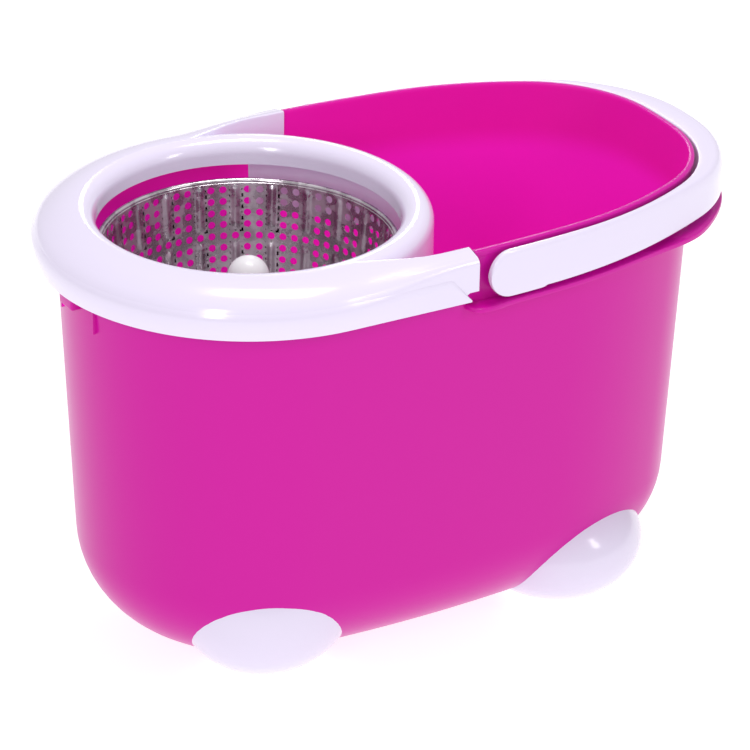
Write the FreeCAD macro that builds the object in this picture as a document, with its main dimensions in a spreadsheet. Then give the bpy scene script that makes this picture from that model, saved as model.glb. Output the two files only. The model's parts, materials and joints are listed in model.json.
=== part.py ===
import FreeCAD, Part
import math
import os
import re

import Sketcher

# Spin-mop bucket: a wash tub with a spinning wringer basket, a splash collar, a bail handle and four feet.
# Every sub-part is drawn with the basket's spin axis at X = 0 and the floor at Z = 0. +X runs to the wash bay,
# +Y to the left side. Each sub-part's Placement then moves it by spin_x, so the row's origin is the middle of
# the footprint.

SIZES = {
    # where the spin axis lies in the row frame
    "spin_x": -108.1,
    # wash tub: plan outline at the rim, made of tangent arcs
    "front_radius": 132.4,
    "half_width": 135.8,
    "side_radius": 1016,
    "shoulder_start": 183,
    "shoulder_radius": 271,
    "corner_radius": 97,
    "back_radius": 420,
    "tub_end": 333.6,
    # wash tub: heights and walls
    "rim_top": 322,
    "underside": 8,
    "draft": 2.6,
    "bottom_round": 76,
    "tub_wall": 3.2,
    "bead_out": 1,
    "bead_deep": 4,
    "ledge_bottom": 280,
    "ledge_thick": 3.6,
    "ledge_lip": 0.6,
    "ledge_start": 93,
    "step_x": 98,
    "step_down": 7,
    "nose_reach": 138.7,
    "nose_half": 9.3,
    "nose_bottom": 276.2,
    "nose_tall": 22,
    "rib_y": 24,
    "rib_half": 0.7,
    "rib_reach": 130.6,
    "rib_deep": 5,
    "rib_bottom": 262,
    # bail handle: outer plan outline
    "strap_front": 140.4,
    "strap_half": 143.9,
    "strap_side": 1004,
    "strap_shoulder_start": 163,
    "strap_shoulder": 400,
    "strap_corner": 105.4,
    "strap_back": 234,
    "strap_end": 363,
    "strap_gap": 3.6,
    "strap_bottom": 286,
    "strap_top": 320,
    "strap_round": 3.8,
    "pivot_x": 124.5,
    "pivot_z": 303,
    "trunnion_radius": 6,
    "trunnion_inner": 128.6,
    "trunnion_clear": 0.06,
    "boss_radius": 12,
    "boss_deep": 5,
    # splash collar
    "mouth_radius": 104.5,
    "collar_wall": 2.5,
    "ring_radius": 11,
    "ring_centre_z": 313,
    "inner_lip_bottom": 306,
    "guard_bottom": 263,
    "guard_half_angle": 62,
    "ring_skirt_bottom": 300,
    "crown_radius": 44,
    "crown_angle": 35,
    "edge_radius": 15,
    "skirt_curve": 36,
    "skirt_bottom": 291,
    "window_start": 28,
    "arm_notch_long": 5,
    "arm_notch_top": 297,
    "arm_end": 97,
    "arm_inner": 129,
    # spinner basket
    "basket_rim_radius": 102.4,
    "basket_wall_radius": 100.2,
    "rim_centre_z": 294.6,
    "rolled_rim": 1.9,
    "centre_hole": 5,
    "floor_ring_inner": 48,
    "floor_ring_outer": 62,
    "row_z": 254.6,
    "row_radius": 97,
    "basket_floor": 192.3,
    "basket_corner": 17,
    "sheet": 0.8,
    "hole_radius": 2.7,
    "row_pitch": 8.6,
    "pair_angle": 2.5,
    # hub post, clamp plate, spindle
    "hub_top": 283,
    "hub_tip_radius": 14.5,
    "hub_foot_radius": 31,
    "hub_wall": 2.6,
    "hub_tube": 3.5,
    "hub_core_top": 258,
    "hub_skirt_radius": 24,
    "hub_flange": 3,
    "hub_boss": 4.5,
    "hub_boss_tall": 13,
    "hub_screw_deep": 11,
    "plate_radius": 33,
    "plate_thick": 3.2,
    "hub_screw_circle": 25,
    "shaft_radius": 4,
    "clip_bottom": 98.6,
    "clip_thick": 1.2,
    "clip_bite": 0.6,
    "slinger_bottom": 182.4,
    "slinger_wall": 1.7,
    "slinger_skirt": 20.2,
    "slinger_drop": 8,
    "shaft_bottom": 96,
    "shaft_top": 262,
    "bearing_outer": 11,
    "bearing_width": 7,
    "bearing_land_out": 8.8,
    "bearing_land_in": 6.3,
    "ball_circle": 7.5,
    "ball_radius": 1.85,
    "groove_radius": 2.05,
    "cage_half": 0.7,
    "cage_low": 2.7,
    "cage_high": 1,
    "lower_bearing_z": 100,
    "upper_bearing_z": 172,
    # bearing pedestal
    "floor_top": 11.2,
    "gasket_thick": 1,
    "pedestal_foot": 46,
    "pedestal_top": 181,
    "pedestal_neck": 17,
    "pedestal_screw_circle": 39,
    "pedestal_flange": 4.2,
    "pedestal_base": 34,
    "pedestal_wall": 3,
    # feet
    "front_foot_x": -16,
    "front_foot_y": 55,
    "rear_foot_x": 240,
    "rear_foot_y": 47,
    "front_foot_radius": 57,
    "front_foot_half": 33,
    "rear_foot_radius": 56,
    "rear_foot_half": 28,
    "foot_wall": 3,
    "foot_sink": 1.5,
    "foot_post": 9,
    "foot_post_top": 5,
    "foot_recess": 2.6,
    "foot_recess_radius": 4.6,
    "foot_screw_head": 3.6,
    "foot_screw_deep": 6,
    "foot_boss_deep": 9.5,
    "sole_clear": 0.05,
    "screw_clear": 0.1,
    # screws and their bosses
    "screw_radius": 1.9,
    "screw_head": 2,
    "screw_head_radius": 3.6,
    "screw_slot": 3.6,
    "screw_boss": 5,
    "pedestal_boss_bottom": 3.5,
    "pedestal_screw_deep": 6.5,
    # running fit between turned parts of one body
    "fit": 0.02,
}

doc = FreeCAD.newDocument("spin_mop")
sheet = doc.addObject("Spreadsheet::Sheet", "Sizes")
for row, (word, number) in enumerate(SIZES.items(), start=1):
    sheet.set("A%d" % row, word)
    sheet.set("B%d" % row, str(number))
    sheet.setAlias("B%d" % row, word)
doc.recompute()


def bound(text):
    """Returns an expression in which every size word points at the sheet."""
    return re.sub(r"[a-z][a-z_]*", lambda m: "Sizes." + m.group() if m.group() in SIZES else m.group(), str(text))


def value(text):
    """Returns the number an expression has now."""
    result = sheet.evalExpression(bound(text))
    return float(getattr(result, "Value", result))


def new_body(label, tool=False):
    """Adds a body. A tool only shapes others, so it stays at the spin axis; the rest move to the row frame."""
    body = doc.addObject("PartDesign::Body", "Body_" + label)
    body.Label = label
    body.AllowCompound = True
    if not tool:
        body.setExpression("Placement.Base.x", "Sizes.spin_x")
    return body


def new_sketch(body, name, role, lift="0", across="0"):
    """Adds a sketch on one of the body's own origin planes, lifted along its normal and shifted along its X."""
    sketch = body.newObject("Sketcher::SketchObject", name)
    plane = [f for f in body.Origin.OriginFeatures if f.Role == role][0]
    sketch.AttachmentSupport = [(plane, "")]
    sketch.MapMode = "FlatFace"
    sketch.setExpression("AttachmentOffset.Base.x", bound(across))
    sketch.setExpression("AttachmentOffset.Base.z", bound(lift))
    return sketch


def fix(sketch, kind, places, text):
    """Adds a dimension to the sketch and binds it to an expression."""
    index = sketch.addConstraint(Sketcher.Constraint(kind, *places, value(text)))
    name = "d%d" % index
    sketch.renameConstraint(index, name)
    sketch.setExpression("Constraints." + name, bound(text))


def arc_between(start, end, radius, turn):
    """Returns an arc from start to end; turn is +1 when it runs anticlockwise, -1 when clockwise."""
    middle = (start + end) * 0.5
    half = (end - start).Length / 2
    side = FreeCAD.Vector(-(end - start).y, (end - start).x, 0).normalize()
    centre = middle + side * (turn * math.sqrt(max(radius ** 2 - half ** 2, 0)))
    first, last = (start, end) if turn > 0 else (end, start)
    angles = [math.atan2(p.y - centre.y, p.x - centre.x) for p in (first, last)]
    if angles[1] <= angles[0]:
        angles[1] += 2 * math.pi
    return Part.ArcOfCircle(Part.Circle(centre, FreeCAD.Vector(0, 0, 1), radius), *angles)


def draw(sketch, corners):
    """Draws one closed outline. A corner is (x, y) before a straight side and (x, y, radius, turn) before an arc."""
    points = [FreeCAD.Vector(value(c[0]), value(c[1]), 0) for c in corners]
    ends = []
    for i, corner in enumerate(corners):
        start, end = points[i], points[(i + 1) % len(points)]
        if len(corner) == 2:
            number = sketch.addGeometry(Part.LineSegment(start, end))
            ends.append((number, 1, 2))
        else:
            number = sketch.addGeometry(arc_between(start, end, value(corner[2]), corner[3]))
            ends.append((number, 1, 2) if corner[3] > 0 else (number, 2, 1))
    for i, (number, first, last) in enumerate(ends):
        after = ends[(i + 1) % len(ends)]
        sketch.addConstraint(Sketcher.Constraint("Coincident", number, last, after[0], after[1]))
    for corner, (number, first, last) in zip(corners, ends):
        fix(sketch, "DistanceX", (number, first), corner[0])
        fix(sketch, "DistanceY", (number, first), corner[1])
        if len(corner) > 2:
            fix(sketch, "Radius", (number,), corner[2])


def draw_circles(sketch, radius, centres):
    """Draws equal circles at the given centres."""
    for x, y in centres:
        circle = Part.Circle(FreeCAD.Vector(value(x), value(y), 0), FreeCAD.Vector(0, 0, 1), value(radius))
        number = sketch.addGeometry(circle)
        fix(sketch, "DistanceX", (number, 3), x)
        fix(sketch, "DistanceY", (number, 3), y)
        fix(sketch, "Radius", (number,), radius)


def feature(body, kind, name, sketch, **settings):
    """Adds a sketched feature; text settings are bound to the sheet, the rest are set as they are."""
    item = body.newObject("PartDesign::" + kind, name)
    item.Profile = sketch
    if kind in ("Revolution", "Groove"):
        item.ReferenceAxis = (sketch, ["V_Axis"])
    for key, setting in settings.items():
        if isinstance(setting, str) and key not in ("Type", "SideType"):
            item.setExpression(key, bound(setting))
        else:
            setattr(item, key, setting)
    doc.recompute()
    sketch.Visibility = False
    return item


def turned(body, name, corners, kind="Revolution", centre=("0", "0"), **settings):
    """Revolves an (r, z) outline about an upright axis, which is the spin axis unless centre says otherwise."""
    sketch = new_sketch(body, name + "_outline", "XZ_Plane", "-(%s)" % centre[1], centre[0])
    draw(sketch, corners)
    return feature(body, kind, name, sketch, **{"Angle": 360, **settings})


def extruded(body, name, corners, role, lift, depth, kind="Pad", **settings):
    """Pads or pockets a closed outline drawn on one of the body's planes."""
    sketch = new_sketch(body, name + "_outline", role, lift)
    draw(sketch, corners)
    return feature(body, kind, name, sketch, Length=depth, **settings)


def rounded(body, name, base, edges, radius):
    """Rounds the chosen edges of a feature."""
    item = body.newObject("PartDesign::Fillet", name)
    item.Base = (base, edges)
    item.setExpression("Radius", bound(radius))
    doc.recompute()
    return item


def flat_edges(shape, height, test=lambda edge: True):
    """Returns the names of a shape's level edges at one height that pass a test."""
    near = 1e-3
    return ["Edge%d" % (i + 1) for i, e in enumerate(shape.Edges)
            if abs(e.BoundBox.ZMax - height) < near and abs(e.BoundBox.ZMin - height) < near and test(e)]


def box_corners(x_low, y_low, x_high, y_high):
    """Returns the four corners of a rectangle."""
    return [(x_low, y_low), (x_high, y_low), (x_high, y_high), (x_low, y_high)]


def discs(body, name, radius, centres, level, reach, kind="Pad"):
    """Adds equal upright cylinders that rise from a level, or as a Pocket cuts them downwards from it."""
    sketch = new_sketch(body, name + "_circles", "XY_Plane", level)
    draw_circles(sketch, radius, centres)
    return feature(body, kind, name, sketch, Length=reach)


def ring_of(count, radius, first=0):
    """Returns centres spread evenly on a circle about the spin axis, first in degrees."""
    step = 360 / count
    return [("(%s) * cos(%g)" % (radius, first + i * step), "(%s) * sin(%g)" % (radius, first + i * step))
            for i in range(count)]


def polar(body, name, source, count):
    """Repeats one feature about the spin axis."""
    pattern = body.newObject("PartDesign::PolarPattern", name)
    pattern.Originals = [source]
    pattern.Axis = ([f for f in body.Origin.OriginFeatures if f.Role == "Z_Axis"][0], [""])
    pattern.Angle = 360
    pattern.Occurrences = count
    body.Tip = pattern
    doc.recompute()
    return pattern


TUB = ("front_radius", "half_width", "side_radius", "shoulder_start",
       "shoulder_radius", "corner_radius", "back_radius", "tub_end")
STRAP = ("strap_front", "strap_half", "strap_side", "strap_shoulder_start",
         "strap_shoulder", "strap_corner", "strap_back", "strap_end")


def outline_plan(names, grow):
    """Works out the arc centres and joints of a plan outline on its +Y half, grown outwards by an amount."""
    front, half, side, joint_x, shoulder, corner, back, end = [value(n) for n in names]
    extra = value(grow)
    side_centre = FreeCAD.Vector(math.sqrt((side - front) ** 2 - (side - half) ** 2), half - side, 0)
    joint_y = side_centre.y + math.sqrt(side ** 2 - (joint_x - side_centre.x) ** 2)
    joint = FreeCAD.Vector(joint_x, joint_y, 0)
    shoulder_centre = joint + (side_centre - joint).normalize() * shoulder
    back_centre = FreeCAD.Vector(end - back, 0, 0)
    span = (back_centre - shoulder_centre).Length
    reach = ((shoulder - corner) ** 2 - (back - corner) ** 2 + span ** 2) / (2 * span)
    rise = math.sqrt((shoulder - corner) ** 2 - reach ** 2)
    along = (back_centre - shoulder_centre).normalize()
    across = FreeCAD.Vector(-along.y, along.x, 0)
    options = [shoulder_centre + along * reach + across * (sign * rise) for sign in (1, -1)]
    corner_centre = max(options, key=lambda p: p.y)
    centres = [side_centre, shoulder_centre, corner_centre, back_centre]
    radii = [side + extra, shoulder + extra, corner + extra, back + extra]
    joints = []
    for i, (inner, outer) in enumerate(((side_centre, shoulder_centre), (shoulder_centre, corner_centre),
                                        (back_centre, corner_centre))):
        radius = radii[0] if i == 0 else radii[1] if i == 1 else radii[3]
        joints.append(inner + (outer - inner).normalize() * radius)
    front_joint = FreeCAD.Vector(0, 0, 0) + (FreeCAD.Vector(0, 0, 0) - side_centre).normalize() * (front + extra)
    return centres, radii, joints, front_joint


def draw_outline(sketch, names, grow="0", start=None):
    """Draws a plan outline. Without start it is closed by the front arc; with start, both sides begin there.

    Returns the first and last (geometry, point) of an open outline, on the -Y and the +Y side.
    """
    centres, radii, joints, front_joint = outline_plan(names, grow)
    if start is None:
        first = front_joint
    else:
        height = math.sqrt(radii[0] ** 2 - (value(start) - centres[0].x) ** 2)
        first = FreeCAD.Vector(value(start), centres[0].y + height, 0)
    flip = lambda p: FreeCAD.Vector(p.x, -p.y, 0)
    chain = [flip(first)] + [flip(p) for p in joints] + joints[::-1] + [first]
    arc_centres = [flip(c) for c in centres[:3]] + [centres[3]] + centres[2::-1]
    arc_radii = radii[:3] + [radii[3]] + radii[2::-1]
    radius_names = [names[2], names[4], names[5], names[6], names[5], names[4], names[2]]
    arcs = []
    for i, (centre, radius) in enumerate(zip(arc_centres, arc_radii)):
        arcs.append(sketch.addGeometry(arc_between(chain[i], chain[i + 1], radius, 1)))
        fix(sketch, "Radius", (arcs[-1],), "%s + (%s)" % (radius_names[i], grow))
    for before, after in zip(arcs, arcs[1:]):
        sketch.addConstraint(Sketcher.Constraint("Tangent", before, 2, after, 1))
    side_y = "%s - %s" % (names[1], names[2])
    fix(sketch, "DistanceY", (arcs[-1], 3), side_y)
    fix(sketch, "DistanceY", (arcs[0], 3), "-(%s)" % side_y)
    fix(sketch, "DistanceX", (arcs[3], 3), "%s - %s" % (names[7], names[6]))
    fix(sketch, "DistanceY", (arcs[3], 3), "0")
    centre_x = "sqrt((%s - %s)^2 - (%s - %s)^2)" % (names[2], names[0], names[2], names[1])
    shoulder_x = "%s - (%s - %s) * %s / %s" % (names[3], names[3], centre_x, names[4], names[2])
    fix(sketch, "DistanceX", (arcs[1], 3), shoulder_x)
    fix(sketch, "DistanceX", (arcs[5], 3), shoulder_x)
    if start is None:
        circle = Part.Circle(FreeCAD.Vector(0, 0, 0), FreeCAD.Vector(0, 0, 1), value(names[0]) + value(grow))
        turn_on = math.atan2(first.y, first.x)
        front = sketch.addGeometry(Part.ArcOfCircle(circle, turn_on, 2 * math.pi - turn_on))
        fix(sketch, "Radius", (front,), "%s + (%s)" % (names[0], grow))
        sketch.addConstraint(Sketcher.Constraint("Coincident", front, 3, -1, 1))
        sketch.addConstraint(Sketcher.Constraint("Tangent", arcs[-1], 2, front, 1))
        sketch.addConstraint(Sketcher.Constraint("Tangent", front, 2, arcs[0], 1))
        return None
    for number, point in ((arcs[0], 1), (arcs[-1], 2)):
        fix(sketch, "DistanceX", (number, 3), centre_x)
        fix(sketch, "DistanceX", (number, point), start)
    return (arcs[0], 1), (arcs[-1], 2)


def draw_band(sketch, inner, outer, start):
    """Draws the C-shaped band between two plan outlines, each (names, grow), behind the line X = start."""
    inside = draw_outline(sketch, inner[0], inner[1], start)
    outside = draw_outline(sketch, outer[0], outer[1], start)
    for (a, a_end), (b, b_end) in zip(inside, outside):
        line = Part.LineSegment(sketch.getPoint(a, a_end), sketch.getPoint(b, b_end))
        number = sketch.addGeometry(line)
        sketch.addConstraint(Sketcher.Constraint("Coincident", number, 1, a, a_end))
        sketch.addConstraint(Sketcher.Constraint("Coincident", number, 2, b, b_end))


def half_disc(radius, height):
    """Returns the half outline that turns into a ball."""
    return [
        ("0", "%s - %s" % (height, radius), radius, 1),
        (radius, height, radius, 1),
        ("0", "%s + %s" % (height, radius)),
    ]


def vessel(label, grow, bottom, rounding, tool):
    """Makes a solid of the tub's drafted shape, with its lower edge rounded."""
    body = new_body(label, tool)
    sketch = new_sketch(body, label + "_plan", "XY_Plane", "rim_top")
    draw_outline(sketch, TUB, grow)
    solid = feature(body, "Pad", label + "_drafted", sketch, Length="rim_top - " + bottom,
                    TaperAngle="-draft", Reversed=True)
    rounded(body, label + "_rounded", solid, flat_edges(solid.Shape, value(bottom)), rounding)
    return body


def subtract(body, name, tools):
    """Cuts other bodies out of a body."""
    item = body.newObject("PartDesign::Boolean", name)
    item.setObjects(tools)
    item.Type = 1
    doc.recompute()
    return item


PEDESTAL_SCREWS = [("-pedestal_screw_circle", "0"),
                   ("pedestal_screw_circle * cos(45)", "pedestal_screw_circle * sin(45)"),
                   ("pedestal_screw_circle * cos(45)", "-pedestal_screw_circle * sin(45)")]
FRONT_FEET = [("front_foot_x", "front_foot_y"), ("front_foot_x", "-front_foot_y")]
REAR_FEET = [("rear_foot_x", "rear_foot_y"), ("rear_foot_x", "-rear_foot_y")]
SIDES = (("left", "1"), ("right", "-1"))


def make_tub():
    """The wash tub: drafted shell, rim bead, ledge, pivot bosses, latch nose, ribs and screw bosses."""
    body = vessel("bucket_tub", "0", "underside", "bottom_round", False)
    discs(body, "pedestal_bosses", "screw_boss", PEDESTAL_SCREWS, "pedestal_boss_bottom",
          "underside - pedestal_boss_bottom + 1")
    discs(body, "foot_bosses", "screw_boss", FRONT_FEET + REAR_FEET, "foot_post_top", "foot_boss_deep")
    subtract(body, "hollow", [vessel("tub_cavity", "-tub_wall", "floor_top", "bottom_round - tub_wall", True)])
    bead = new_sketch(body, "bead_plan", "XY_Plane", "rim_top - bead_deep")
    draw_outline(bead, TUB, "bead_out")
    draw_outline(bead, TUB, "-tub_wall / 2")
    feature(body, "Pad", "bead", bead, Length="bead_deep")
    extruded(body, "collar_seat", box_corners("-2 * front_radius", "-2 * front_radius", "step_x", "2 * front_radius"),
             "XY_Plane", "rim_top", "step_down", "Pocket")
    ledge = new_sketch(body, "ledge_plan", "XY_Plane", "ledge_bottom")
    wall_middle = "-(rim_top - ledge_bottom) * tan(draft) - tub_wall / 2"
    draw_band(ledge, (TUB, wall_middle), (STRAP, "ledge_lip"), "ledge_start")
    feature(body, "Pad", "ledge", ledge, Length="ledge_thick")
    extruded(body, "latch_nose", box_corners("-nose_reach", "-nose_half", "-front_radius + tub_wall", "nose_half"),
             "XY_Plane", "nose_bottom", "nose_tall")
    for side, sign in SIDES:
        middle = "%s * rib_y" % sign
        extruded(body, "front_rib_" + side,
                 box_corners("-rib_reach", middle + " - rib_half", "-rib_reach + rib_deep", middle + " + rib_half"),
                 "XY_Plane", "rib_bottom", "skirt_bottom - rib_bottom")
    for side, lift in (("right", "half_width - tub_wall - boss_deep"), ("left", "-(half_width - tub_wall / 2)")):
        sketch = new_sketch(body, "pivot_boss_circle_" + side, "XZ_Plane", lift)
        draw_circles(sketch, "boss_radius", [("pivot_x", "pivot_z")])
        feature(body, "Pad", "pivot_boss_" + side, sketch, Length="boss_deep + tub_wall / 2")
    bores = new_sketch(body, "pivot_bore_circle", "XZ_Plane")
    draw_circles(bores, "trunnion_radius + trunnion_clear", [("pivot_x", "pivot_z")])
    feature(body, "Pocket", "pivot_bores", bores, Length="3 * half_width", Midplane=True)
    discs(body, "pedestal_screw_holes", "screw_radius", PEDESTAL_SCREWS, "floor_top", "pedestal_screw_deep", "Pocket")
    discs(body, "foot_screw_holes", "screw_radius", FRONT_FEET + REAR_FEET, "foot_post_top + foot_screw_deep",
          "foot_screw_deep", "Pocket")
    return body


def hood_corners(sign):
    """Returns the collar's front section, from the crest of the ring to the skirt's lower edge."""
    crest = ("(mouth_radius + ring_radius)", "(ring_centre_z + ring_radius)")
    turn = -1 if sign > 0 else 1
    shoulder_x = crest[0] + " + crown_radius * sin(crown_angle)"
    shoulder_z = crest[1] + " - crown_radius * (1 - cos(crown_angle))"
    edge_x = "(" + shoulder_x + " - edge_radius * sin(crown_angle))"
    edge_z = "(" + shoulder_z + " - edge_radius * cos(crown_angle))"
    drop = "(" + edge_z + " - skirt_bottom)"
    skirt_x = "(" + edge_x + " + edge_radius - skirt_curve)"
    corners = [
        (crest[0], crest[1], "crown_radius", turn),
        (shoulder_x, shoulder_z, "edge_radius", turn),
        (edge_x + " + edge_radius", edge_z, "skirt_curve", turn),
        (skirt_x + " + sqrt(skirt_curve^2 - " + drop + "^2)", "skirt_bottom"),
        (skirt_x + " + sqrt((skirt_curve - collar_wall)^2 - " + drop + "^2)", "skirt_bottom",
         "skirt_curve - collar_wall", -turn),
        (edge_x + " + edge_radius - collar_wall", edge_z, "edge_radius - collar_wall", -turn),
        (edge_x + " + (edge_radius - collar_wall) * sin(crown_angle)",
         edge_z + " + (edge_radius - collar_wall) * cos(crown_angle)", "crown_radius - collar_wall", -turn),
        (crest[0], crest[1] + " - collar_wall"),
    ]
    if sign > 0:
        return corners
    return [("-(%s)" % c[0],) + tuple(c[1:]) for c in corners]


def make_collar():
    """The splash collar: mouth ring, front hood with its skirt, two side arms and the guard wall."""
    body = new_body("splash_collar")
    turned(body, "mouth_ring", [
        ("mouth_radius", "inner_lip_bottom"),
        ("mouth_radius", "ring_centre_z", "ring_radius", -1),
        ("mouth_radius + ring_radius", "ring_centre_z + ring_radius", "ring_radius", -1),
        ("mouth_radius + 2 * ring_radius", "ring_centre_z"),
        ("mouth_radius + 2 * ring_radius", "ring_skirt_bottom"),
        ("mouth_radius + 2 * ring_radius - collar_wall", "ring_skirt_bottom"),
        ("mouth_radius + 2 * ring_radius - collar_wall", "ring_centre_z", "ring_radius - collar_wall", 1),
        ("mouth_radius + ring_radius", "ring_centre_z + ring_radius - collar_wall", "ring_radius - collar_wall", 1),
        ("mouth_radius + collar_wall", "ring_centre_z"),
        ("mouth_radius + collar_wall", "inner_lip_bottom"),
    ])
    turned(body, "front_hood", hood_corners(-1), Angle=180, Midplane=True)
    turned(body, "guard_wall", box_corners("mouth_radius + 2 * ring_radius - collar_wall", "guard_bottom",
                                           "mouth_radius + 2 * ring_radius", "ring_skirt_bottom + 2"),
           Angle="2 * guard_half_angle", Midplane=True)
    for side, sign in (("left", 1), ("right", -1)):
        extruded(body, "arm_" + side, hood_corners(sign), "YZ_Plane", "0", "arm_end")
    ring_edge = "(mouth_radius + 2 * ring_radius)"
    for side, sign in SIDES:
        turn = 1 if sign == "1" else -1
        window = [
            ("window_start", sign + " * sqrt(" + ring_edge + "^2 - window_start^2)", ring_edge, -turn),
            ("arm_end + 1", sign + " * sqrt(" + ring_edge + "^2 - (arm_end + 1)^2)"),
            ("arm_end + 1", sign + " * arm_inner"),
            ("window_start", sign + " * arm_inner"),
        ]
        extruded(body, "wash_window_" + side, window, "XY_Plane", "skirt_bottom - 1", "rim_top - skirt_bottom + 6",
                 "Pocket", Reversed=True)
    extruded(body, "arm_notch", [("arm_end - arm_notch_long", "arm_notch_top"), ("arm_end + 1", "arm_notch_top"),
                                 ("arm_end + 1", "skirt_bottom - 1"),
                                 ("arm_end - 2 * arm_notch_long", "skirt_bottom - 1")],
             "XZ_Plane", "0", "3 * half_width", "Pocket", Midplane=True)
    return body


def make_basket():
    """The spinner basket: a thin drafted bowl with a rolled rim, 24 groups of drain holes and floor holes."""
    body = new_body("basket_bowl", True)
    slope = "(basket_wall_radius - row_radius) / (rim_centre_z - row_z)"
    foot_x = "(basket_wall_radius - (rim_centre_z - basket_floor - basket_corner) * %s)" % slope
    turned(body, "bowl", [
        ("centre_hole", "basket_floor"),
        (foot_x + " + sheet - basket_corner", "basket_floor", "basket_corner", 1),
        (foot_x + " + sheet", "basket_floor + basket_corner"),
        ("basket_wall_radius + sheet", "rim_centre_z"),
        ("basket_wall_radius", "rim_centre_z"),
        (foot_x, "basket_floor + basket_corner", "basket_corner - sheet", -1),
        (foot_x + " + sheet - basket_corner", "basket_floor + sheet"),
        ("centre_hole", "basket_floor + sheet"),
    ])
    rim = new_sketch(body, "rolled_rim_circle", "XZ_Plane")
    draw_circles(rim, "rolled_rim", [("basket_rim_radius", "rim_centre_z")])
    feature(body, "Revolution", "rolled_rim", rim, Angle=360)
    discs(body, "hub_screw_holes", "screw_radius + screw_clear", ring_of(4, "hub_screw_circle", 45), "basket_floor + 1",
          "3", "Pocket")
    floor_holes = discs(body, "floor_hole_pair", "hole_radius", [("floor_ring_inner", "0"), ("floor_ring_outer", "0")],
                        "basket_floor + 1", "3", "Pocket")
    polar(body, "floor_holes", floor_holes, 24)
    drills = doc.addObject("Part::Feature", "side_drills")
    drills.Shape = side_drills()
    basket = doc.addObject("Part::Cut", "Cut_spin_basket")
    basket.Base = body
    basket.Tool = drills
    basket.Label = "spin_basket"
    basket.setExpression("Placement.Base.x", "Sizes.spin_x")
    doc.recompute()
    return basket


def side_drills():
    """Returns one cylinder for each side hole: eight rows of pairs and one row that runs right round."""
    groups = 24
    rows = range(-4, 5)
    pair = value("pair_angle")
    inner = value("basket_rim_radius") - 3 * value("basket_corner") / 2
    cylinders = []
    for group in range(groups):
        for row in rows:
            turns = (-pair, pair, 3 * pair) if row == 0 else (-pair, pair)
            for turn in turns:
                angle = math.radians(group * 360 / groups + turn)
                outward = FreeCAD.Vector(math.cos(angle), math.sin(angle), 0)
                start = outward * inner + FreeCAD.Vector(0, 0, value("row_z") + row * value("row_pitch"))
                cylinders.append(Part.makeCylinder(value("hole_radius"), value("basket_corner") * 2, start, outward))
    return Part.makeCompound(cylinders)


def make_hub():
    """The hub post that carries the mop plate: a hollow cone with a domed tip, a shaft socket and four bosses."""
    body = new_body("hub_post")
    base = "basket_floor + sheet"
    turned(body, "post", [
        ("shaft_radius + fit", base),
        ("shaft_radius + hub_tube", base),
        ("shaft_radius + hub_tube", "hub_core_top"),
        ("hub_tip_radius - hub_wall", "hub_core_top"),
        ("hub_skirt_radius - hub_wall", base),
        ("hub_foot_radius", base),
        ("hub_foot_radius", base + " + hub_flange"),
        ("hub_skirt_radius", base + " + hub_flange + 3"),
        ("hub_tip_radius + 0.6", "hub_top - hub_tip_radius - 6"),
        ("hub_tip_radius", "hub_top - hub_tip_radius", "hub_tip_radius", 1),
        ("0", "hub_top"),
        ("0", "shaft_top + fit"),
        ("shaft_radius + fit", "shaft_top + fit"),
    ])
    circle = ring_of(4, "hub_screw_circle", 45)
    discs(body, "screw_bosses", "hub_boss", circle, base, "hub_boss_tall")
    discs(body, "screw_holes", "screw_radius", circle, base + " + hub_screw_deep", "hub_screw_deep", "Pocket")
    return body


def make_clamp_plate():
    """The drive plate under the basket, whose sleeve sits on the upper bearing's inner ring."""
    body = new_body("clamp_plate")
    turned(body, "plate", [
        ("shaft_radius + fit", "upper_bearing_z + bearing_width"),
        ("bearing_land_in - 0.1", "upper_bearing_z + bearing_width"),
        ("bearing_land_in - 0.1", "basket_floor - plate_thick"),
        ("plate_radius", "basket_floor - plate_thick"),
        ("plate_radius", "basket_floor"),
        ("shaft_radius + fit", "basket_floor"),
    ])
    discs(body, "plate_holes", "screw_radius + screw_clear", ring_of(4, "hub_screw_circle", 45), "basket_floor",
          "plate_thick + 1", "Pocket")
    return body


def make_screws(label, centres, seat, up, shank, head):
    """A group of equal pan-head screws. seat is the height of the face under the heads; up is +1 for shanks
    that rise from it and -1 for shanks that hang from it."""
    body = new_body(label)
    rising = up > 0
    foot = seat if rising else "%s - (%s)" % (seat, shank)
    discs(body, label + "_shanks", "screw_radius", centres, foot, shank)
    discs(body, label + "_heads", head, centres, "%s - screw_head" % seat if rising else seat, "screw_head")
    for turn, (long, short) in enumerate((("screw_slot", "screw_slot / 5"), ("screw_slot / 5", "screw_slot"))):
        for number, (x, y) in enumerate(centres):
            corners = box_corners("%s - %s / 2" % (x, long), "%s - %s / 2" % (y, short),
                                  "%s + %s / 2" % (x, long), "%s + %s / 2" % (y, short))
            face = "%s - screw_head" % seat if rising else "%s + screw_head" % seat
            extruded(body, "%s_slot_%d_%d" % (label, turn, number), corners, "XY_Plane", face, "screw_head / 2",
                     "Pocket", Reversed=rising)
    return body


def make_shaft():
    """The spindle shaft with its retaining groove and a chamfered lower end."""
    body = new_body("spindle_shaft")
    groove = "shaft_radius - clip_bite"
    turned(body, "shaft", [
        ("0", "shaft_bottom"),
        ("shaft_radius - 0.8", "shaft_bottom"),
        ("shaft_radius", "shaft_bottom + 0.8"),
        ("shaft_radius", "clip_bottom"),
        (groove, "clip_bottom"),
        (groove, "clip_bottom + clip_thick"),
        ("shaft_radius", "clip_bottom + clip_thick"),
        ("shaft_radius", "shaft_top"),
        ("0", "shaft_top"),
    ])
    return body


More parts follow.
